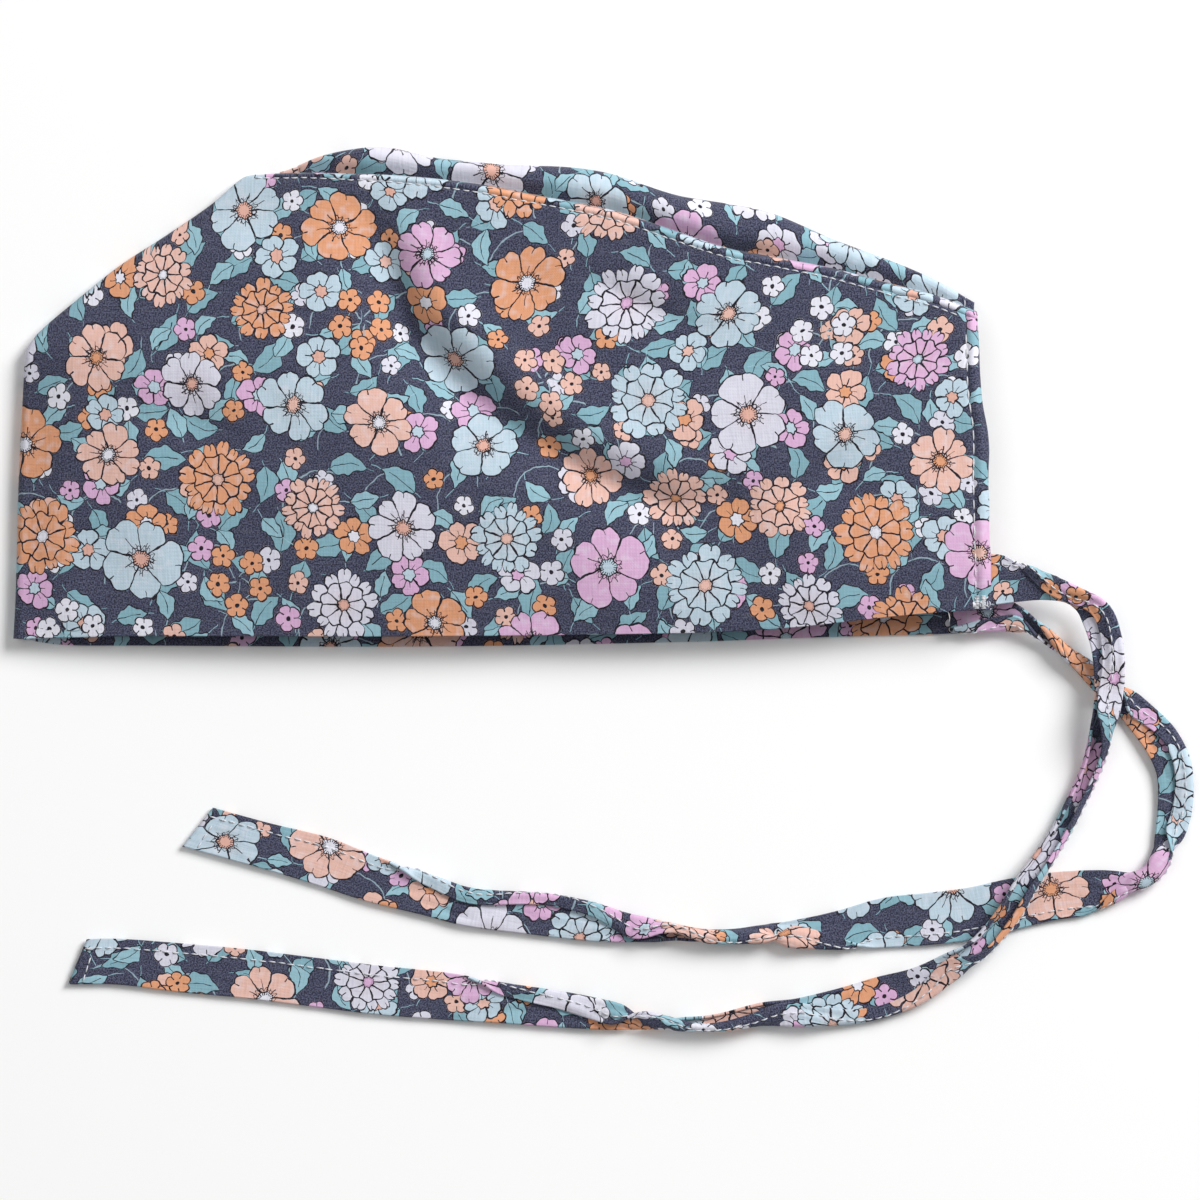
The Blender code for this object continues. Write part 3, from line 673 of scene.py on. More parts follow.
# %% Height of the near side, with its creases
LAY_HEIGHT = 0.0175
PUFF_REACH = 0.0700
PUFF_POWER = 2.5
CREASE_END_FADE = 0.0160
CREASE_SIDE_FADE = 0.0090
CREASE_LIP = 0.40
CREASE_LIP_SHIFT = 1.7
CREASE_FURROW = 0.30
CREASE_NARROW = 0.42
CREASE_STEEP = 1.15
CREASE_GENTLE = 0.60
CREASE_SHARPNESS = 1.15
CREASE_SHIFT = -0.0042 - 0.0022j
BAND_TALL = FRONT_FOLD_HEIGHT + SLOPE_RISE

LAY = {
    "along": (0.00, 0.25, 0.45, 0.70, 0.88, 1.00),
    "hem": (0.46, 0.56, 0.58, 0.60, 0.66, 0.68),
    "middle": (0.80, 0.94, 1.00, 0.96, 0.86, 0.74),
    "seam": (0.68, 0.86, 0.90, 0.90, 0.80, 0.66),
}

# Each crease is a chain of points: share along the cap, share up it, depth as a share of the height
# of the lay, and width as a share of the cap's length
CREASES = (
    (
        (0.37, 0.97, 0.00, 0.020),
        (0.40, 0.83, 0.16, 0.024),
        (0.42, 0.69, 0.23, 0.026),
        (0.47, 0.57, 0.26, 0.028),
        (0.53, 0.47, 0.18, 0.026),
        (0.60, 0.38, 0.19, 0.026),
        (0.69, 0.30, 0.15, 0.026),
        (0.78, 0.33, 0.00, 0.020),
    ),
    ((0.58, 0.82, 0.00, 0.016), (0.65, 0.74, 0.10, 0.020), (0.74, 0.66, 0.00, 0.020)),
    ((0.79, 0.30, 0.00, 0.016), (0.85, 0.38, 0.12, 0.022), (0.90, 0.48, 0.00, 0.018)),
    ((0.08, 0.52, 0.00, 0.020), (0.20, 0.50, 0.07, 0.024), (0.28, 0.40, 0.00, 0.020)),
)


def crease_depth(place):
    """How far the creases sink the cloth."""
    total = np.zeros(place.shape)
    for crease in CREASES:
        nearest = np.full(place.shape, 1.0)
        deep, wide = np.zeros(place.shape), np.ones(place.shape)
        for a, b in zip(crease, crease[1:]):
            start = complex(a[0] * CAP_LENGTH, a[1] * BAND_TALL) + CREASE_SHIFT
            run = complex(b[0] * CAP_LENGTH, b[1] * BAND_TALL) + CREASE_SHIFT - start
            share = np.clip(((place - start) * run.conjugate()).real / abs(run) ** 2, 0.0, 1.0)
            away = place - start - run * share
            distance = np.copysign(abs(away), (away * run.conjugate()).imag)
            closer = abs(distance) < abs(nearest)
            nearest = np.where(closer, distance, nearest)
            deep = np.where(closer, mix(a[2], b[2], share), deep)
            wide = np.where(closer, mix(a[3], b[3], share), wide)
        off = nearest / (wide * CAP_LENGTH) * np.where(nearest > 0.0, CREASE_STEEP, CREASE_GENTLE)
        valley = np.exp(-(off**2)) + CREASE_FURROW * np.exp(-((off / CREASE_NARROW) ** 2))
        valley -= CREASE_LIP * np.exp(-((off - CREASE_LIP_SHIFT) ** 2))
        total += LAY_HEIGHT * deep * valley * CREASE_SHARPNESS
    return total


def near_height(s, t):
    """The middle of the near side's cloth above the table."""
    hem, middle, seam = (read(LAY, column, s) for column in ("hem", "middle", "seam"))
    lower = mix(hem, middle, ease_out(t * 2.0))
    upper = mix(seam, middle, ease_out(2.0 - t * 2.0))
    full = LAY_HEIGHT * np.where(t < 0.5, lower, upper) - CLOTH_WALL / 2.0
    fold = CLOTH_WALL / 2.0 + 2.0 * fold_radius(t)
    puffed = ease_out(s * CAP_LENGTH / PUFF_REACH, PUFF_POWER)
    from_end = np.minimum(s, 1.0 - s) * CAP_LENGTH
    from_side = np.minimum(t, 1.0 - t) * BAND_TALL
    fade = ease(from_end / CREASE_END_FADE) * ease(from_side / CREASE_SIDE_FADE)
    return mix(fold, full, puffed) - crease_depth(band_plan(s, t)) * fade


print(f"The lay is {LAY_HEIGHT * 1000:.1f} mm high, with {len(CREASES)} creases")

# %% [markdown]
# ## Small relief
#
# Up close, slack cotton is never smooth. Broad soft lumps run all over it. Each row of topstitching
# draws the cloth into small puckers, with a groove under the stitches and a ridge between them and the
# edge, where the seam allowance is inside. A displacement modifier could do this from a texture, but
# the stitches need the same height, so it is worked out here for both.

# %% Puckers, soft lumps and the ridges beside the seams
PUCKER_HEIGHT = 0.00055
PUCKER_LENGTH = 0.0055
PUCKER_FADE = 0.0045
SEAM_INSET = 0.0033
BACK_INSET = 0.0044
RIDGE_HEIGHT = 0.0005
RIDGE_WIDTH = 0.0012
GROOVE_DEPTH = 0.0003
GROOVE_WIDTH = 0.0007
EDGE_ROLL = 0.0008
SEAM_ROLL = 0.0030
EDGE_WANDER = 0.0006
EDGE_WANDER_LENGTH = 0.011
EDGE_WANDER_REACH = 0.008
ALONG_SEAM = 0.3
HEM_REACH = 0.006
HEM_CALM = 0.4
FRONT_CALM = 0.05
BROAD_LUMPS = ((0.045, 0.0015), (0.019, 0.0007), (0.008, 0.00018))


def seam_profile(away, inset, roll):
    """The section of a topstitched edge: a rolled edge, a ridge, and a groove under the stitches."""
    ridge = RIDGE_HEIGHT * np.exp(-(((away - inset / 2.0) / RIDGE_WIDTH) ** 2))
    groove = GROOVE_DEPTH * np.exp(-(((away - inset) / GROOVE_WIDTH) ** 2))
    return ridge - groove - roll * np.exp(-away / GROOVE_WIDTH)


def near_relief(s, t):
    """What the plain solid leaves out: lumps of slack cloth, and puckers along the seams."""
    place = band_plan(s, t)
    relief = sum(deep * lumps(place.real, place.imag, size, size * 1000.0) for size, deep in BROAD_LUMPS)
    from_seam = (1.0 - t) * BAND_TALL
    from_back = (1.0 - s) * CAP_LENGTH
    seam_pucker = lumps(place.real, from_seam * ALONG_SEAM, PUCKER_LENGTH, 7.0)
    back_pucker = lumps(place.imag, from_back * ALONG_SEAM, PUCKER_LENGTH, 9.0)
    seam_pucker *= np.exp(-from_seam / PUCKER_FADE)
    back_pucker *= np.exp(-from_back / PUCKER_FADE)
    calm = mix(HEM_CALM, 1.0, ease(t * BAND_TALL / HEM_REACH))
    relief = relief * calm + PUCKER_HEIGHT * (seam_pucker + back_pucker)
    relief += seam_profile(from_seam, SEAM_INSET, SEAM_ROLL) + seam_profile(from_back, BACK_INSET, EDGE_ROLL)
    return relief * ease(s / FRONT_CALM)


def near_point(s, t):
    place = band_plan(s, t) - complex(*CAP_MIDDLE)
    height = near_height(s, t) + near_relief(s, t)
    wander = EDGE_WANDER * lumps(place.imag, place.real * 0.2, EDGE_WANDER_LENGTH, 31.0)
    place = place + wander * np.exp(-(1.0 - s) * CAP_LENGTH / EDGE_WANDER_REACH)
    return np.stack([place.real, place.imag, height], -1)


print(f"The broadest lumps are {BROAD_LUMPS[0][0] * 1000:.0f} mm wide")

# %% [markdown]
# ## Bending the band
#
# One grid runs from the back edge of the near side forwards, half way round the front fold, and back
# along the table to the far side's back edge. Its flat coordinates run on without a break, so the print
# goes round the fold as it does on real cloth. Above the fold the two sides are sewn together on a
# slant, and there the print is broken: the far side takes its own coordinates. Over a crease there is
# more cloth than table, and that slack is added, so that the flowers aren't stretched there.

# %% Bend the band to shape
NEAR_COLUMNS = 220
FOLD_COLUMNS = 12
FAR_COLUMNS = 60
BAND_ROWS = 120
CROWDING = 0.75
BAND_THICKNESS = 0.0009
SLACK_START = 0.1


def crowded(count):
    """Shares from 0 to 1, closer together at both ends, where the cloth has its seams."""
    even = np.linspace(0.0, 1.0, count + 1)
    return even - CROWDING * np.sin(even * math.tau) / math.tau


def slack(points, axis):
    """How much more cloth than table there is from the start of an axis to each point."""
    step = np.diff(points, axis=axis)
    level = np.hypot(step[..., 0], step[..., 1])
    more = np.cumsum(np.hypot(level, step[..., 2]) - level, axis=axis)
    return np.insert(more, 0, 0.0, axis=axis)


def band_grid():
    """Columns run from the near side's back edge, round the front fold, to the far side's back edge."""
    t = crowded(BAND_ROWS)[None, :]
    near_s = crowded(NEAR_COLUMNS)[::-1, None]
    near = near_point(*np.broadcast_arrays(near_s, t))
    slack_up = slack(near, 1) * ease(near_s / SLACK_START)
    near_flat = band_plan(near_s, t) + slack(near[::-1], 0)[::-1] + 1j * slack_up

    radius = fold_radius(t)
    turn = (np.arange(1, FOLD_COLUMNS) / FOLD_COLUMNS * math.pi)[:, None]
    place = front_inset(t) + front_outward(t) * radius * np.sin(turn) - complex(*CAP_MIDDLE)
    height = CLOTH_WALL / 2.0 + radius * (1.0 + np.cos(turn))
    fold = np.stack([place.real, place.imag, height], -1)
    fold_flat = front_inset(t) - radius * turn

    far_s = np.linspace(0.0, 1.0, FAR_COLUMNS + 1)[:, None]
    far_flat = band_plan(far_s, t, 1.0)
    place = far_flat - complex(*CAP_MIDDLE)
    far = np.stack([place.real, place.imag, np.full(place.shape, CLOTH_WALL / 2.0)], -1)
    mirrored = -math.pi * radius - far_flat.conjugate()
    fold_at = front_inset(t).real
    joined = np.concatenate([near_flat, fold_flat, mirrored + 2.0 * fold_at])
    broken = np.concatenate([near_flat, fold_flat, mirrored + 2.0 * np.minimum(fold_at, FRONT_FOLD_LEAN)])
    spreads = [np.stack([flat.real, flat.imag], -1) for flat in (joined, broken)]
    return np.concatenate([near, fold, far]), *spreads, len(near) + len(fold)


PRINT_START_BAND = (0.40, 0.20)
band_points, band_flat, far_side_flat, far_side_row = band_grid()
band = cloth_piece(
    "band_cloth",
    band_points,
    band_flat + PRINT_START_BAND,
    BAND_THICKNESS,
    seam_row=far_side_row,
    beyond=far_side_flat + PRINT_START_BAND,
)
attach(band, "root")
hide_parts("side_band")

# %% [markdown]
# ## The crown
#
# The crown is the piece on top of the head. Here it is folded in half between the band's two top
# edges, so only its round fold shows past the seam. Its section is two flat legs joined by a half
# ellipse, drawn again at every step along the seam. A bevelled curve would be quicker, but its round
# section couldn't be wide in one place and narrow in another, with its legs kept under the cloth.

# %% Fold the crown
CROWN_SHOW = 0.0143
CROWN_TUCK = 0.0045
CROWN_WALL = 0.0012
CROWN_START = 0.0062
CROWN_END_INSET = 0.0008
CROWN_ROUND = 0.80
CROWN_THICKNESS = 0.0008
CROWN_DIP = 0.0034
CROWN_DIP_WIDTH = 0.0065
CROWN_LUMP = 0.0009
CROWN_BROAD = 0.020
CROWN_FINE = 0.006
CROWN_CALM = 0.004
CLEARANCE = 0.0003
CROWN_COLUMNS = 150
CROWN_ROWS = 40


def crown_grid():
    """Columns run from front to back, rows from under the near side, out and back to the far side."""
    length = CAP_LENGTH - SLOPE_RUN - BACK_EDGE_LEAN
    s = np.linspace(CROWN_START / length, 1.0 - CROWN_END_INSET / length, CROWN_COLUMNS + 1)[:, None]
    edge = seam_outline(s, 0.0) - complex(*CAP_MIDDLE)
    show = CROWN_SHOW * read(SEAM_LINE, "crown", s) - CROWN_WALL / 2.0
    top = near_height(s, np.ones(s.shape))
    high = top - CLOTH_WALL / 2.0 - CLEARANCE * 2.0 - CROWN_WALL / 2.0
    low = np.full(s.shape, CLOTH_WALL + CLEARANCE + CROWN_WALL / 2.0)
    depth = CROWN_ROUND * (show + CROWN_WALL)
    legs = CROWN_ROWS // 4
    leg = np.linspace(0.0, 1.0, legs, endpoint=False)[None, :]
    turn = math.pi * np.linspace(0.5, -0.5, CROWN_ROWS - 2 * legs + 1)[None, :]
    out_leg = mix(-CROWN_TUCK, show - depth, leg)
    out_turn = show - depth + depth * np.cos(turn)
    out = np.concatenate([out_leg, out_turn, out_leg[:, ::-1]], axis=1)
    level = np.ones(leg.shape)
    height = np.concatenate([high * level, mix(low, high, 0.5 + 0.5 * np.sin(turn)), low * level], axis=1)
    height = height - CROWN_DIP * (1.0 - ease(out / CROWN_DIP_WIDTH)) * ease((height - low) / (high - low))
    around = np.cumsum(np.hypot(np.diff(out), np.diff(height)), axis=1)
    around = np.concatenate([np.zeros(s.shape), around], axis=1)
    around = around - around[:, CROWN_ROWS // 2, None]
    place = edge + 1j * out
    beyond = ease(out / CROWN_CALM)
    broad = CROWN_LUMP * lumps(place.real, height, CROWN_BROAD, 21.0)
    swell = broad + CROWN_LUMP * lumps(place.real, height * 0.4, CROWN_FINE, 23.0)
    place = place + 0.8j * beyond * broad
    height = height + swell * beyond * np.sin(math.pi * (height - low) / (high - low))
    flat = np.stack(np.broadcast_arrays(s * length, around), -1)
    return np.stack([place.real, place.imag, height], -1), flat


PRINT_START_CROWN = (2.10, 0.55)
crown_points, crown_flat = crown_grid()
crown = cloth_piece("crown_cloth", crown_points, crown_flat + PRINT_START_CROWN, CROWN_THICKNESS)
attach(crown, "root")
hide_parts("crown")

# %% [markdown]
# ## Topstitching
#
# The seam allowance is held down by a row of pale stitches a few millimetres inside each edge of the
# near side. The rows follow the same formulas as the cloth, so they ride on every pucker.

# %% Sew the seam and the back hem
SMALL_STEP = 0.002
SEAM_STITCHED = (0.004, 0.976)
HEM_STITCHED = (0.055, 0.94)


def near_line(s, t):
    """Points on top of the near side along a line, with the way that the cloth faces."""
    s, t = np.broadcast_arrays(s, t)
    ahead = near_point(s + SMALL_STEP, t) - near_point(s - SMALL_STEP, t)
    above = near_point(s, t + SMALL_STEP) - near_point(s, t - SMALL_STEP)
    normals = np.cross(ahead, above)
    normals /= np.linalg.norm(normals, axis=-1, keepdims=True)
    return near_point(s, t) + normals * BAND_THICKNESS / 2.0, normals


def inset_share(s, inset):
    """The share up the band that lies the inset below the seam."""
    tall = abs(seam_outline(s, 0.0) - hem_outline(s, 0.0))
    return 1.0 - inset / tall


s_line = np.linspace(*SEAM_STITCHED, 700)
t_line = np.linspace(*HEM_STITCHED, 300)
seam_stitches = stitches("seam_stitches", [near_line(s_line, inset_share(s_line, SEAM_INSET))])
hem_line = near_line(1.0 - BACK_INSET / CAP_LENGTH, t_line)
hem_stitches = stitches("back_hem_stitches", [hem_line], length=0.0034, gap=0.0007, radius=0.00024)

# %% [markdown]
# ## Corner tack, crown hem and a loose end
#
# Where the ties leave the cap, many short stitches on top of each other hold all the layers: a tack. It
# is rows along, rows across and two diagonals. The crown's hem has one short row, which goes over its
# roll. And, as on most sewn things, one end of thread was not cut off.

# %% Sew the corner tack and the crown's hem
TACK_LEFT, TACK_RIGHT = 0.9820, 0.9982
TACK_LOW, TACK_HIGH = 0.006, 0.046
TACK_ROWS = 9
tack_s = np.linspace(TACK_LEFT, TACK_RIGHT, TACK_ROWS)
tack_t = np.linspace(TACK_LOW, TACK_HIGH, TACK_ROWS)
tack_lines = [near_line(s, tack_t) for s in tack_s] + [near_line(TACK_LEFT + 0.0007, tack_t)]
tack_lines += [near_line(tack_s, t) for t in tack_t]
tack_lines += [near_line(tack_s, tack_t), near_line(tack_s, tack_t[::-1])]
tack_stitches = stitches("corner_tack_stitches", tack_lines, length=0.0017, gap=0.0003, radius=0.00022)

CROWN_HEM_COLUMN = -3
crown_rows = slice(CROWN_ROWS // 4, CROWN_ROWS * 3 // 4)
crown_ups = facing(crown_points)[CROWN_HEM_COLUMN, crown_rows]
crown_line = crown_points[CROWN_HEM_COLUMN, crown_rows] + crown_ups * CROWN_THICKNESS / 2.0
crown_stitches = stitches("crown_hem_stitches", [(crown_line, crown_ups)])

THREAD_END_AT = 0.955
THREAD_END_LENGTH = 0.0048
THREAD_END_WAVE = 0.0007
THREAD_END_FALL = 0.0030
drop = np.linspace(0.0, 1.0, 12)
thread_top = near_point(np.array([THREAD_END_AT]), np.zeros(1))[0]
end_line = np.stack([
    thread_top[0] + THREAD_END_WAVE * np.sin(drop * 3.0),
    thread_top[1] + 0.0004 - THREAD_END_LENGTH * drop,
    thread_top[2] - THREAD_END_FALL * drop**2,
], -1)
end_ups = np.broadcast_to([0.0, 0.0, 1.0], end_line.shape)
thread_end = stitches(
    "loose_thread_end",
    [(end_line, end_ups)],
    length=THREAD_END_LENGTH,
    gap=0.0001,
    radius=0.00016,
)
for piece in (seam_stitches, hem_stitches, tack_stitches, crown_stitches, thread_end):
    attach(piece, "root")

# %% [markdown]
# ## Arithmetic with fields
#
# A shader can draw any flower that a formula can describe, but a tree of Math nodes is hard to read.
# A field is a number that has its own value at every place on the cloth. The class below lets plain
# arithmetic on fields add the nodes, so that the print can be written as formulas. A comparison gives
# a mask: 1 where it is true, and 0 elsewhere.

# %% Fields and what can be done with them
def rule(operation, swapped=False):
    """A way to do arithmetic with a field, which adds one Math node."""
    def act(*values):
        return maths(operation, *(values[::-1] if swapped else values))

    return act


class Field:
    """A number with its own value at every place, known by the socket that gives it out."""

    tree = None
    __add__, __radd__ = rule("ADD"), rule("ADD", swapped=True)
    __sub__, __rsub__ = rule("SUBTRACT"), rule("SUBTRACT", swapped=True)
    __mul__, __rmul__ = rule("MULTIPLY"), rule("MULTIPLY", swapped=True)
    __truediv__, __rtruediv__ = rule("DIVIDE"), rule("DIVIDE", swapped=True)
    __lt__, __gt__, __abs__ = rule("LESS_THAN"), rule("GREATER_THAN"), rule("ABSOLUTE")

    def __init__(self, socket):
        self.socket = socket


def maths(operation, *values):
    node = Field.tree.nodes.new("ShaderNodeMath")
    node.operation = operation
    for place, value in zip(node.inputs, values):
        connect(value, place)
    return Field(node.outputs["Value"])


def connect(value, place):
    if isinstance(value, Field):
        Field.tree.links.new(value.socket, place)
    else:
        place.default_value = value


def floor(value):
    return maths("FLOOR", value)


def fract(value):
    return maths("FRACT", value)


def sine(value):
    return maths("SINE", value)


def cosine(value):
    return maths("COSINE", value)


def root(value):
    return maths("SQRT", maths("MAXIMUM", value, 0.0))


def larger(*values):
    """The largest of several fields. Of masks, it is a mask that is 1 wherever one of them is."""
    most = values[0]
    for value in values[1:]:
        most = maths("MAXIMUM", most, value)
    return most


def polar(x, y):
    """How far a place is from the centre, and at what angle."""
    return root(x * x + y * y), maths("ARCTAN2", y, x)


print("A field can be added, subtracted, multiplied, divided and compared")

# %% [markdown]
# ## Noise, dice and colours
#
# A printed pattern needs chance, but the same chance each time. White noise gives dice that depend only
# on the place, so no two patches of cloth look the same and every render does. A soft noise texture
# stands for everything that varies slowly, such as a pen pressed harder here and there. The Mix node
# lays one colour over another as a printer's screen does.

# %% Chance and colour as fields
def vector(x, y):
    node = Field.tree.nodes.new("ShaderNodeCombineXYZ")
    connect(x, node.inputs["X"])
    connect(y, node.inputs["Y"])
    return Field(node.outputs["Vector"])


def split(value):
    node = Field.tree.nodes.new("ShaderNodeSeparateXYZ")
    connect(value, node.inputs["Vector"])
    return tuple(Field(node.outputs[k]) for k in "XYZ")


def grain(x, y, size, detail=0.0):
    """Soft noise with grains of one size, as one number from 0 to 1 and as three."""
    node = Field.tree.nodes.new("ShaderNodeTexNoise")
    node.noise_dimensions = "2D"
    connect(vector(x, y), node.inputs["Vector"])
    node.inputs["Scale"].default_value = 1.0 / size
    node.inputs["Detail"].default_value = detail
    return Field(node.outputs["Fac"]), split(Field(node.outputs["Color"]))


def throw(column, row, seed):
    """Three dice for one patch of cloth. They fall the same way each time."""
    node = Field.tree.nodes.new("ShaderNodeTexWhiteNoise")
    node.noise_dimensions = "2D"
    connect(vector(column + seed, row - seed), node.inputs["Vector"])
    return split(Field(node.outputs["Color"]))


def paint(below, mask, above):
    """Lays a colour over another where the mask says."""
    node = Field.tree.nodes.new("ShaderNodeMix")
    node.data_type = "RGBA"
    colours = [place for place in node.inputs if place.type == "RGBA"]
    connect(mask, node.inputs["Factor"])
    connect(below, colours[0])
    connect(above, colours[1])
    return Field(next(place for place in node.outputs if place.type == "RGBA"))


def pick(die, colours):
    """One of several colours, as a die falls."""
    node = Field.tree.nodes.new("ShaderNodeValToRGB")
    ramp = node.color_ramp
    ramp.interpolation = "CONSTANT"
    while len(ramp.elements) < len(colours):
        ramp.elements.new(1.0)
    for i, colour in enumerate(colours):
        ramp.elements[i].position = i / len(colours)
        ramp.elements[i].color = colour
    connect(die, node.inputs["Fac"])
    return Field(node.outputs["Color"])


def dye(code):
    """A colour from its usual code, as light values."""
    parts = [int(code[i : i + 2], 16) / 255.0 for i in (1, 3, 5)]
    light = [p / 12.92 if p <= 0.04045 else ((p + 0.055) / 1.055) ** 2.4 for p in parts]
    return (*light, 1.0)


print("Middle grey as light values:", [round(part, 2) for part in dye("#808080")])

# %% [markdown]
# ## Drawing flowers with polar coordinates
#
# Seen from its own centre, a flower is a distance and an angle. The angle, cut into as many equal
# parts as there are petals, tells which petal a place is on and how far across it. Round petals, the
# ink round them, the lines between them and the short strokes at the heart all follow from those two
# numbers. Drawing the flowers by hand in a texture would look livelier, but would need a picture file
# and would blur close up. The ink gets its hand-drawn look from small sine waves in its outlines, and
# from a little noise in its width and in the cloth's own coordinates.

# %% Petals and large flowers
PETAL_ROUND = 3.7
LARGE_CUT = 0.36
FEW_PETALS = 5.0
DOUBLE_ABOVE = 0.60
INNER_RING = 0.62
STAMENS = 19.0


def rounded(across, cut):
    """The edge of a round petal, as a share of the flower's radius. The cut says how deep it goes."""
    return 1.0 - cut + cut * root(1.0 - across * across * PETAL_ROUND)


def petals(x, y, radius, count, spin, cut):
    """How far a place is from the centre and across its petal, the petal's number and its edge."""
    reach, angle = polar(x, y)
    uneven = angle + 0.14 * sine(angle * 2.0 + spin * 9.0)
    swing = uneven * (count / math.tau) + spin * 5.0 + (spin - 0.5) * 0.5 * reach / radius
    number = maths("FLOORED_MODULO", floor(swing), count)
    across = fract(swing) - 0.5
    size = 0.94 + 0.06 * sine(number * 2.4 + spin * 20.0)
    notch = larger(0.15 - abs(across), 0.0) * 0.45
    edge = radius * size * (rounded(across, cut) - notch)
    return reach, angle, number, across, edge


def flower(x, y, radius, dice, pen):
    """A large flower, single or double: masks for its petals, heart and ink, and how far out it is."""
    shape, many, spin = dice
    double = shape > DOUBLE_ABOVE
    single = 1.0 - double
    count = floor(many * 2.99) + FEW_PETALS + double * 6.0
    reach, angle, number, across, edge = petals(x, y, radius, count, spin, LARGE_CUT)
    width = reach * (math.tau / count)
    middle = radius * INNER_RING * double * (0.94 + 0.06 * sine(angle * 9.0 + spin * 30.0))
    heart = radius * (0.21 - 0.05 * double) * (0.93 + 0.07 * sine(angle * 7.0 + spin * 17.0))

    gaps = ((0.5 - abs(across)) * width < pen) * (reach > middle)
    fold = abs(across - 0.20 * sine(number * 3.1)) * width < pen * 0.6
    long_fold = reach < edge * (0.48 + 0.14 * sine(number * 4.7))
    fold = fold * larger(long_fold * single, reach > edge * 0.84)

    inner_count = count - 3.0
    inner_swing = angle * (inner_count / math.tau) + spin * 3.0
    inner_width = reach * math.tau / inner_count
    inner = ((0.5 - abs(fract(inner_swing) - 0.5)) * inner_width < pen) * (reach < middle)
    ring = (abs(reach - middle) < pen) * double

    stamens = abs(fract(angle * (STAMENS / math.tau)) - 0.5) * reach * (math.tau / STAMENS) < pen * 0.55
    tips = heart * (1.45 + 0.35 * sine(angle * 31.0 + spin * 11.0))
    stamens = stamens * (reach > heart * 0.6) * (reach < tips) * (1.0 - double * 0.6)
    frill = abs(reach - heart * (1.42 + 0.16 * sine(angle * 13.0 + spin * 23.0))) < pen * 0.65

    lines = larger(gaps, fold, inner, ring, frill * single) * (reach > heart)
    ink = larger(lines, stamens, abs(reach - heart) < pen * 0.8) * (reach < edge)
    return reach < edge + pen, reach < heart, larger(ink, abs(reach - edge) < pen), reach / radius


print(f"A double flower has a second ring of petals, out to {INNER_RING:.0%} of its radius")

# %% [markdown]
# ## Smaller flowers and leaves
#
# The smaller a motif is, the more simply it is drawn, so that its ink stays clear: a middle-sized flower
# has no stamens, and a floret only a dot for its heart. A leaf is drawn in turned coordinates of its
# own, and bends because its midrib is moved aside along a parabola.

# %% Blossoms, florets and leaves
MIDDLE_CUT = 0.42
SMALL_CUT = 0.40


def blossom(x, y, radius, spin, pen):
    """A flower of middle size with a plain heart."""
    reach, angle, _, across, edge = petals(x, y, radius, FEW_PETALS, spin, MIDDLE_CUT)
    width = reach * (math.tau / FEW_PETALS)
    heart = radius * (0.26 + 0.03 * sine(angle * 6.0))
    gaps = ((0.5 - abs(across)) * width < pen * 0.8) * (reach > heart) * (reach < edge)
    fold = (abs(across) * width < pen * 0.5) * (reach > heart) * (reach < edge * 0.6)
    ink = larger(gaps, fold, abs(reach - heart) < pen * 0.8, abs(reach - edge) < pen)
    return reach < edge + pen, reach < heart, ink


def floret(x, y, radius, spin, pen):
    """One small flower of a spray, with a dot for its heart."""
    reach, angle = polar(x, y)
    across = fract(angle * (FEW_PETALS / math.tau) + spin) - 0.5
    edge = radius * rounded(across, SMALL_CUT)
    gaps = (0.5 - abs(across)) * reach * (math.tau / FEW_PETALS) < pen * 0.7
    gaps = gaps * (reach > radius * 0.45) * (reach < edge)
    ink = larger(gaps, reach < radius * 0.17, abs(reach - edge) < pen * 0.9)
    return reach < edge + pen, ink


def leaf(x, y, length, width, spin, bend, pen):
    """A pointed leaf with a midrib, turned and bent as its dice say."""
    turn_cosine, turn_sine = cosine(spin), sine(spin)
    along = (x * turn_cosine + y * turn_sine) / (length * 0.5)
    side = y * turn_cosine - x * turn_sine + bend * length * (along * along - 0.4)
    wavy = 1.0 + 0.10 * sine(along * 9.0 + spin)
    half = width * 0.5 * larger(1.0 - along * along, 0.0) * (1.0 - 0.35 * along) * wavy
    inside = abs(side) < half + pen * 0.5
    rib = (abs(side) < pen * 0.5) * (along < 0.55)
    ink = larger(rib, abs(abs(side) - half) < pen * 0.75) * (abs(along) < 1.0)
    return inside, ink


print("Motifs:", ", ".join(motif.__name__ for motif in (flower, blossom, floret, leaf)))

# %% [markdown]
# ## The print
#
# The cloth is a small flower print in soft colours on slate. Its layout is our own: the cloth is cut
# into patches, dice decide what grows in each one, and the layers are laid over each other as a
# printer would, stems first, then leaves, small flowers and large flowers. Scattering with a Voronoi
# texture is the usual way, but its cells cut flowers off at their borders, so the patches here are
# staggered rows, with room for a whole flower in each. The rows of each layer run at an angle of
# their own, so that no row shows.

# %% Colours of the print
SLATE_DARK = dye("#262838")
SLATE_LIGHT = dye("#5a5d77")
INK = dye("#1e1924")
STEM = dye("#93aab6")
TEAL = dye("#97bfcc")
DEEP_TEAL = dye("#86b0bd")
BLUE = dye("#bdd1de")
PEACH = dye("#e6bbae")
ORANGE = dye("#e1a07a")
PINK = dye("#dab0d4")
LILAC = dye("#d8d7e5")
SALMON = dye("#dfae9f")
LIGHT = dye("#e4e4ef")

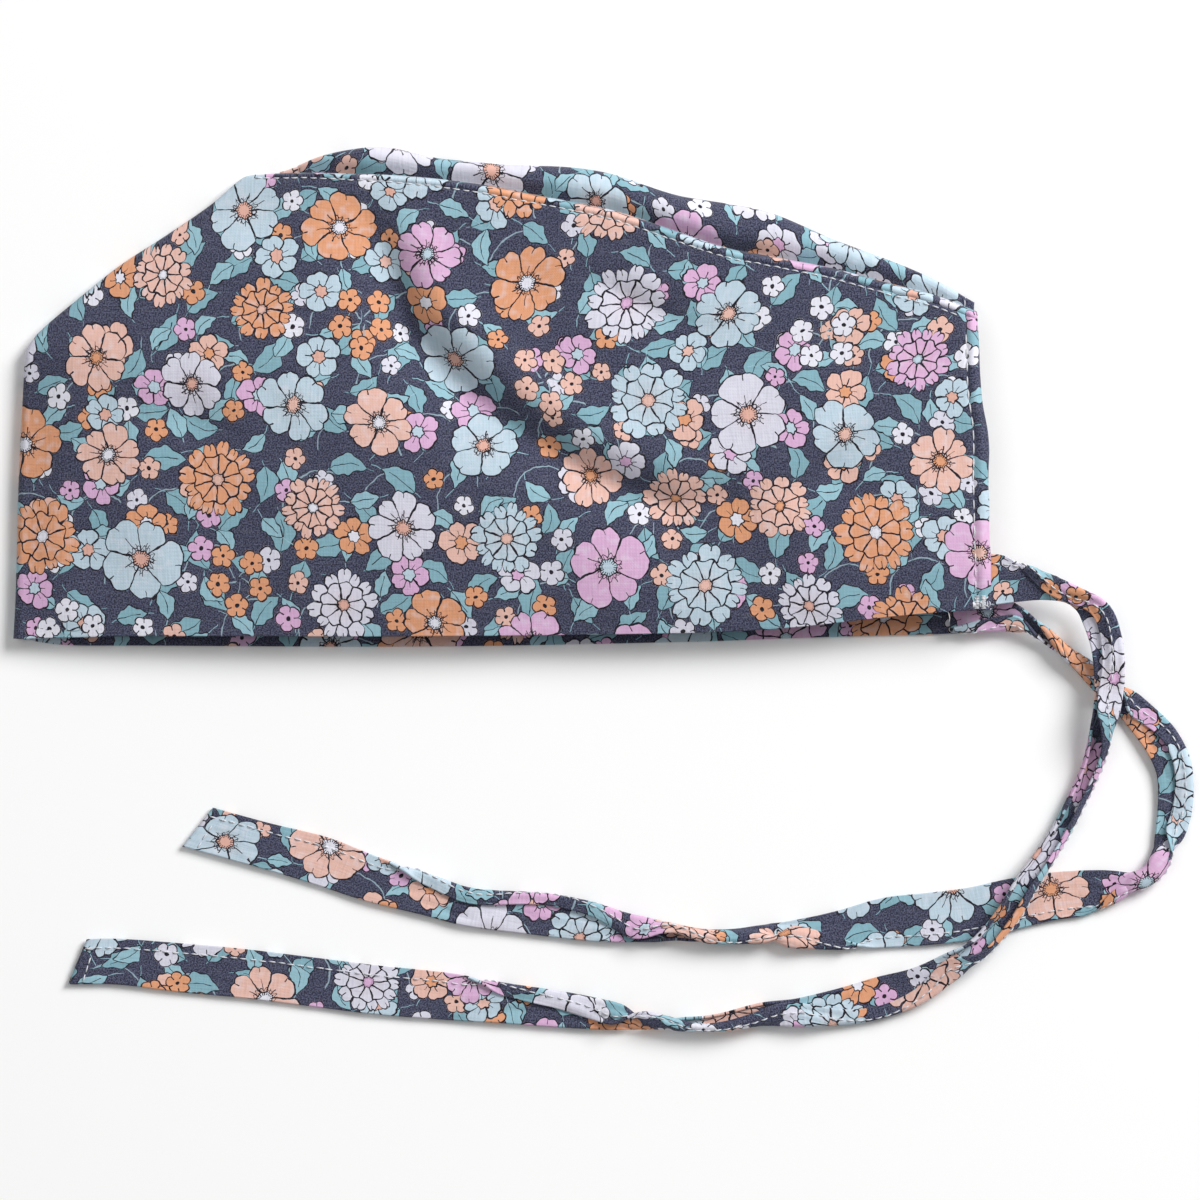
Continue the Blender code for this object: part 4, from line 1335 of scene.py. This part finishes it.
HUES = (BLUE, ORANGE, LILAC, PEACH, BLUE, PINK, ORANGE, BLUE, PEACH, LILAC, PINK)
HEARTS = (SALMON, LIGHT, PINK, ORANGE, PEACH, BLUE, PEACH, SALMON, LIGHT, SALMON, PEACH)
MIDDLE_HUES = (PINK, BLUE, PEACH, LILAC, BLUE, ORANGE)
MIDDLE_HEARTS = (BLUE, SALMON, ORANGE, PINK, PEACH, LIGHT)
SMALL_HUES = (LILAC, ORANGE, PINK, LIGHT, PEACH)
SPRAY_HUES = (LIGHT, ORANGE, LILAC, PEACH)
print(f"{len(HUES)} throws of a large flower's die share {len(set(HUES))} colours")

# %% [markdown]
# ## Patches of cloth
#
# Every layer asks the same question at each place on the cloth: which patch am I in, where in it, and
# how have its dice fallen? The answer comes from rounding the coordinates down, with every row shifted
# by part of a patch. What grows there is then drawn round the middle of the patch, in metres, and laid
# over what is below.

# %% Patches, and motifs laid over each other
SECOND_THROW = 31.7


def patches(u, v, degrees, size, stagger, seed):
    """Staggered patches in turned rows: a place in its own patch, and six dice for the patch."""
    angle = math.radians(degrees)
    u, v = u * math.cos(angle) - v * math.sin(angle), u * math.sin(angle) + v * math.cos(angle)
    wide, tall = size
    row = floor(v / tall)
    shifted = u / wide + row * stagger
    column = floor(shifted)
    x = (shifted - column - 0.5) * wide
    y = (v / tall - row - 0.5) * tall
    return x, y, throw(column, row, seed) + throw(column, row, seed + SECOND_THROW)


def shift(place, die, room):
    """Moves a motif off the middle of its patch, as its die says."""
    return place + (die - 0.5) * room


def lay_over(below, grows, *layers):
    """Lays masks in their colours over the print, one after another, where the motif grows."""
    for mask, shade in layers:
        below = paint(below, mask * grows, shade)
    return below


print(f"A die of 1 moves a motif that has 2 mm of room by {1000 * shift(0.0, 1.0, 0.002):.0f} mm")

# %% [markdown]
# ## Stems, leaves and smaller flowers
#
# The ground is dyed slate, flecked by the light and dark threads of the weave. Over it go thin curved
# stems, two layers of leaves and two of smaller flowers. A die leaves some patches empty, so that the
# ground shows between them.

# %% Ground, stems, leaves and smaller flowers
HEATHER_SIZE = 0.00046
HEATHER_CONTRAST = 3.2
HEATHER_MIDDLE = 0.46
STEM_PATCH = (0.021, 0.019)
STEM_CENTRE = 0.006
STEM_BOW = 0.009
LEAF_PATCH = (0.0146, 0.0128)
LEAF_LENGTH = 0.0130
LEAF_WIDTH = 0.0072
LEAF_LAYERS = ((71.0, 5.0, DEEP_TEAL, 1.0), (-17.0, 11.0, TEAL, 0.82))
SMALL_PATCH = (0.0113, 0.0099)
SMALL_RADIUS = 0.0041
MIDDLE_PATCH = (0.0193, 0.0171)
MIDDLE_RADIUS = 0.0063
MIDDLE_SPREAD = 0.0011


def ground(u, v):
    heather, _ = grain(u, v, HEATHER_SIZE, 1.0)
    heather = larger((heather - 0.5) * HEATHER_CONTRAST + HEATHER_MIDDLE, 0.0)
    return paint(SLATE_DARK, maths("MINIMUM", heather, 1.0), SLATE_LIGHT)


def stems(colour, u, v, pen):
    x, y, dice = patches(u, v, 55.0, STEM_PATCH, 0.45, 3.0)
    x_off = x - STEM_CENTRE
    bow = abs(root(x_off * x_off + y * y) - STEM_BOW - 0.003 * dice[0])
    return lay_over(colour, dice[1] > 0.45, ((bow < pen * 0.8) * (x < 0.004), STEM))


def leaves(colour, u, v, pen):
    for degrees, seed, shade, grown in LEAF_LAYERS:
        x, y, dice = patches(u, v, degrees, LEAF_PATCH, 0.41, seed)
        size = grown * (0.74 + 0.26 * dice[2])
        shape = LEAF_LENGTH * size, LEAF_WIDTH * size
        inside, ink = leaf(x, y, *shape, dice[0] * math.tau, (dice[1] - 0.5) * 0.4, pen)
        colour = lay_over(colour, dice[3] > 0.16, (inside, shade), (ink, INK))
    return colour


def small_flowers(colour, u, v, pen):
    x, y, dice = patches(u, v, 38.0, SMALL_PATCH, 0.37, 23.0)
    x, y = shift(x, dice[0], 0.0015), shift(y, dice[1], 0.0012)
    inside, ink = floret(x, y, SMALL_RADIUS * (0.75 + 0.25 * dice[2]), dice[4], pen)
    return lay_over(colour, dice[3] < 0.42, (inside, pick(dice[5], SMALL_HUES)), (ink, INK))


def middle_flowers(colour, u, v, pen):
    x, y, dice = patches(u, v, -29.0, MIDDLE_PATCH, 0.39, 67.0)
    x, y = shift(x, dice[0], 0.0040), shift(y, dice[1], 0.0030)
    inside, heart, ink = blossom(x, y, MIDDLE_RADIUS + MIDDLE_SPREAD * dice[2], dice[4], pen)
    petal, core = pick(dice[5], MIDDLE_HUES), pick(dice[5], MIDDLE_HEARTS)
    return lay_over(colour, dice[3] < 0.44, (inside, petal), (heart, core), (ink, INK))


print(f"Smaller flowers are up to {2000 * (MIDDLE_RADIUS + MIDDLE_SPREAD):.0f} mm across")

# %% [markdown]
# ## Large flowers and sprays
#
# Each large patch holds one flower that fills it, single or double, or, one time in six, a spray: five
# stalks with a floret at the end of each. The petals are lighter in patches, as watercolour dries, and
# warmer towards the heart. At the very end the thick threads of the weave are laid over everything.

# %% Large flowers, sprays and the whole print
LARGE_PATCH = (0.0300, 0.0270)
LARGE_RADIUS = 0.0100
LARGE_SPREAD = 0.0034
SPRAY_ABOVE = 0.84
SPRAY_RING = 0.0072
SPRAY_RADIUS = 0.0037
PEN_WIDTH = 0.00023
WOBBLE = 0.0012


def sprays(colour, x, y, dice, grows, hue, pen):
    away, angle = polar(x, y)
    swing = angle * (FEW_PETALS / math.tau) + dice[5]
    sector = floor(swing)
    side = (fract(swing) - 0.5) * (math.tau / FEW_PETALS)
    ring = SPRAY_RING + 0.0011 * sine(sector * 2.4 + dice[4] * 9.0)
    bloom_x = away * cosine(side) - ring
    bloom_y = away * sine(side)
    stalk = (abs(bloom_y + bloom_x * 0.1) < pen * 0.8) * (away < ring)
    inside, ink = floret(bloom_x, bloom_y, SPRAY_RADIUS, sector * 0.37 + dice[4], pen)
    return lay_over(colour, grows, (stalk, STEM), (inside, pick(hue, SPRAY_HUES)), (ink, INK))


def large_flowers(colour, u, v, pen, patchy):
    x, y, dice = patches(u, v, 12.0, LARGE_PATCH, 0.43, 41.0)
    radius = LARGE_RADIUS + LARGE_SPREAD * dice[0]
    room = (LARGE_PATCH[1] / 2.0 - radius) * 2.0
    x, y = shift(x, dice[1], room), shift(y, dice[2], room)
    inside, heart, ink, share = flower(x, y, radius, dice[3:], pen)
    hue = fract(dice[3] * 7.31 + dice[1] * 3.7)
    spray = fract(dice[4] * 9.7 + dice[2]) > SPRAY_ABOVE
    petal = paint(pick(hue, HUES), larger(patchy - 0.50, 0.0) * 0.8, LIGHT)
    petal = paint(petal, larger(0.55 - share, 0.0) * 0.30, SALMON)
    colour = lay_over(colour, 1.0 - spray, (inside, petal), (heart, pick(hue, HEARTS)), (ink, INK))
    return sprays(colour, x, y, dice, spray, hue, pen)


def ditsy_print(u, v, slub_u, slub_v):
    """The print's colour at every place on the cloth."""
    colour = ground(u, v)
    _, (wander_u, wander_v, _) = grain(u, v, 0.0040, 2.0)
    u, v = shift(u, wander_u, WOBBLE), shift(v, wander_v, WOBBLE)
    weight, (patchy, _, _) = grain(u, v, 0.0024)
    pen = PEN_WIDTH * (0.45 + weight * 1.1)
    for layer in (stems, leaves, small_flowers, middle_flowers):
        colour = layer(colour, u, v, pen)
    colour = large_flowers(colour, u, v, pen, patchy)
    colour = paint(colour, larger(slub_u - 0.5, 0.0) * 0.09, LIGHT)
    return paint(colour, larger(slub_v - 0.5, 0.0) * 0.22, INK)


print(f"Large flowers are up to {2000 * (LARGE_RADIUS + LARGE_SPREAD):.0f} mm across")

# %% [markdown]
# ## Cotton and thread
#
# Plain-weave cotton is matt, with a faint fuzz that catches light at the edges: a high roughness and a
# little sheen. The weave is too fine to model, so it is a bump of two crossed waves, and thicker
# threads run through it at random. The thread of the stitches is smooth polyester, a little shinier.

# %% Cotton with the print
WEAVE_PITCH = 0.00045
WEAVE_DEPTH = 0.00006
SLUB_LENGTH = 0.006
SLUB_WIDTH = 0.0006


def new_material(name):
    """A material whose node tree the fields now write in, and its main shader."""
    material = bpy.data.materials.new(name)
    material.use_nodes = True
    Field.tree = material.node_tree
    return material, material.node_tree.nodes["Principled BSDF"]


def raise_surface(height, shader, depth):
    """Lets a field raise the surface under the light, without moving the cloth."""
    bump = Field.tree.nodes.new("ShaderNodeBump")
    bump.inputs["Distance"].default_value = depth
    connect(height, bump.inputs["Height"])
    connect(Field(bump.outputs["Normal"]), shader.inputs["Normal"])


def printed_cotton():
    cloth, shader = new_material("printed_cotton")
    flat = Field.tree.nodes.new("ShaderNodeUVMap")
    flat.uv_map = "cloth"
    u, v, _ = split(Field(flat.outputs["UV"]))
    slub_u, _ = grain(u / SLUB_LENGTH, v / SLUB_WIDTH, 1.0)
    slub_v, _ = grain(u / SLUB_WIDTH, v / SLUB_LENGTH, 1.0)
    connect(ditsy_print(u, v, slub_u, slub_v), shader.inputs["Base Color"])
    shader.inputs["Roughness"].default_value = 0.88
    shader.inputs["Specular IOR Level"].default_value = 0.25
    shader.inputs["Sheen Weight"].default_value = 0.12
    shader.inputs["Sheen Roughness"].default_value = 0.5
    weave = sine(u * (math.tau / WEAVE_PITCH)) * sine(v * (math.tau / WEAVE_PITCH))
    raise_surface(weave * 0.5 + slub_u + slub_v, shader, WEAVE_DEPTH)
    print(f"printed_cotton: {len(Field.tree.nodes)} nodes")
    return cloth


cotton = printed_cotton()
for piece in (band, crown, tie_left, tie_right):
    piece.data.materials.append(cotton)

# %% [markdown]
# ## The thread
#
# Sewing thread is twisted from two or three strands. The twist is a fine slanting wave across each
# stitch, too small to model. Its white is a little worn, as thread is after some washes.

# %% Sewing thread
THREAD_WORN = dye("#bfc3cd")
THREAD_WHITE = dye("#f2f2f5")
WORN_SIZE = 0.0030
TWIST_PITCH = 0.0003
TWIST_DEPTH = 0.00003


def sewing_thread():
    thread, shader = new_material("sewing_thread")
    position = Field.tree.nodes.new("ShaderNodeTexCoord")
    x, y, z = split(Field(position.outputs["Object"]))
    worn, _ = grain(x + z, y - z, WORN_SIZE)
    connect(paint(THREAD_WORN, worn, THREAD_WHITE), shader.inputs["Base Color"])
    shader.inputs["Roughness"].default_value = 0.5
    shader.inputs["Sheen Weight"].default_value = 0.2
    raise_surface(sine((x + y + z) * (math.tau / TWIST_PITCH)), shader, TWIST_DEPTH)
    print(f"sewing_thread: {len(Field.tree.nodes)} nodes")
    return thread


thread = sewing_thread()
cap_stitches = (seam_stitches, hem_stitches, tack_stitches, crown_stitches, thread_end)
for piece in (*cap_stitches, left_stitches, right_stitches):
    piece.data.materials.append(thread)

# %% [markdown]
# ## Table and light
#
# The cap lies on a bright white table, so that nothing draws the eye from the print. Most of the light
# comes from one broad lamp beyond the picture's upper right corner, low enough to leave soft shade in
# the creases and beside the cap. A weak lamp on the other side and a pale sky fill that shade.

# %% White table and soft lamps
TABLE_SIZE = 8.0
TABLE_COLOUR = (0.98, 0.98, 0.98, 1.0)
SKY_COLOUR = (1.0, 1.0, 1.0, 1.0)
SKY_STRENGTH = 0.28

bpy.ops.mesh.primitive_plane_add(size=TABLE_SIZE)
table = bpy.context.object
table.name = "table"
table_paint = bpy.data.materials.new("white_table")
table_paint.use_nodes = True
table_shader = table_paint.node_tree.nodes["Principled BSDF"]
table_shader.inputs["Base Color"].default_value = TABLE_COLOUR
table_shader.inputs["Roughness"].default_value = 0.9
table_shader.inputs["Specular IOR Level"].default_value = 0.1
table.data.materials.append(table_paint)

sky = bpy.data.worlds.new("soft_room")
sky.use_nodes = True
background = sky.node_tree.nodes["Background"]
background.inputs["Color"].default_value = SKY_COLOUR
background.inputs["Strength"].default_value = SKY_STRENGTH
scene.world = sky

LAMP_TARGET = Vector((0.0, -0.05, 0.0))
LAMPS = (
    ("key_lamp", (2.60, 2.20, 2.50), 2.00, 206.0),
    ("fill_lamp", (-1.20, 0.60, 3.00), 2.00, 14.0),
)
for name, place, size, watts in LAMPS:
    light = bpy.data.lights.new(name, "AREA")
    light.shape = "SQUARE"
    light.size = size
    light.energy = watts
    lamp = bpy.data.objects.new(name, light)
    lamp.location = place
    lamp.rotation_euler = (LAMP_TARGET - lamp.location).to_track_quat("-Z", "Y").to_euler()
    scene.collection.objects.link(lamp)
scene.view_settings.view_transform = "Standard"
print("Lamps:", ", ".join(lamp[0] for lamp in LAMPS))
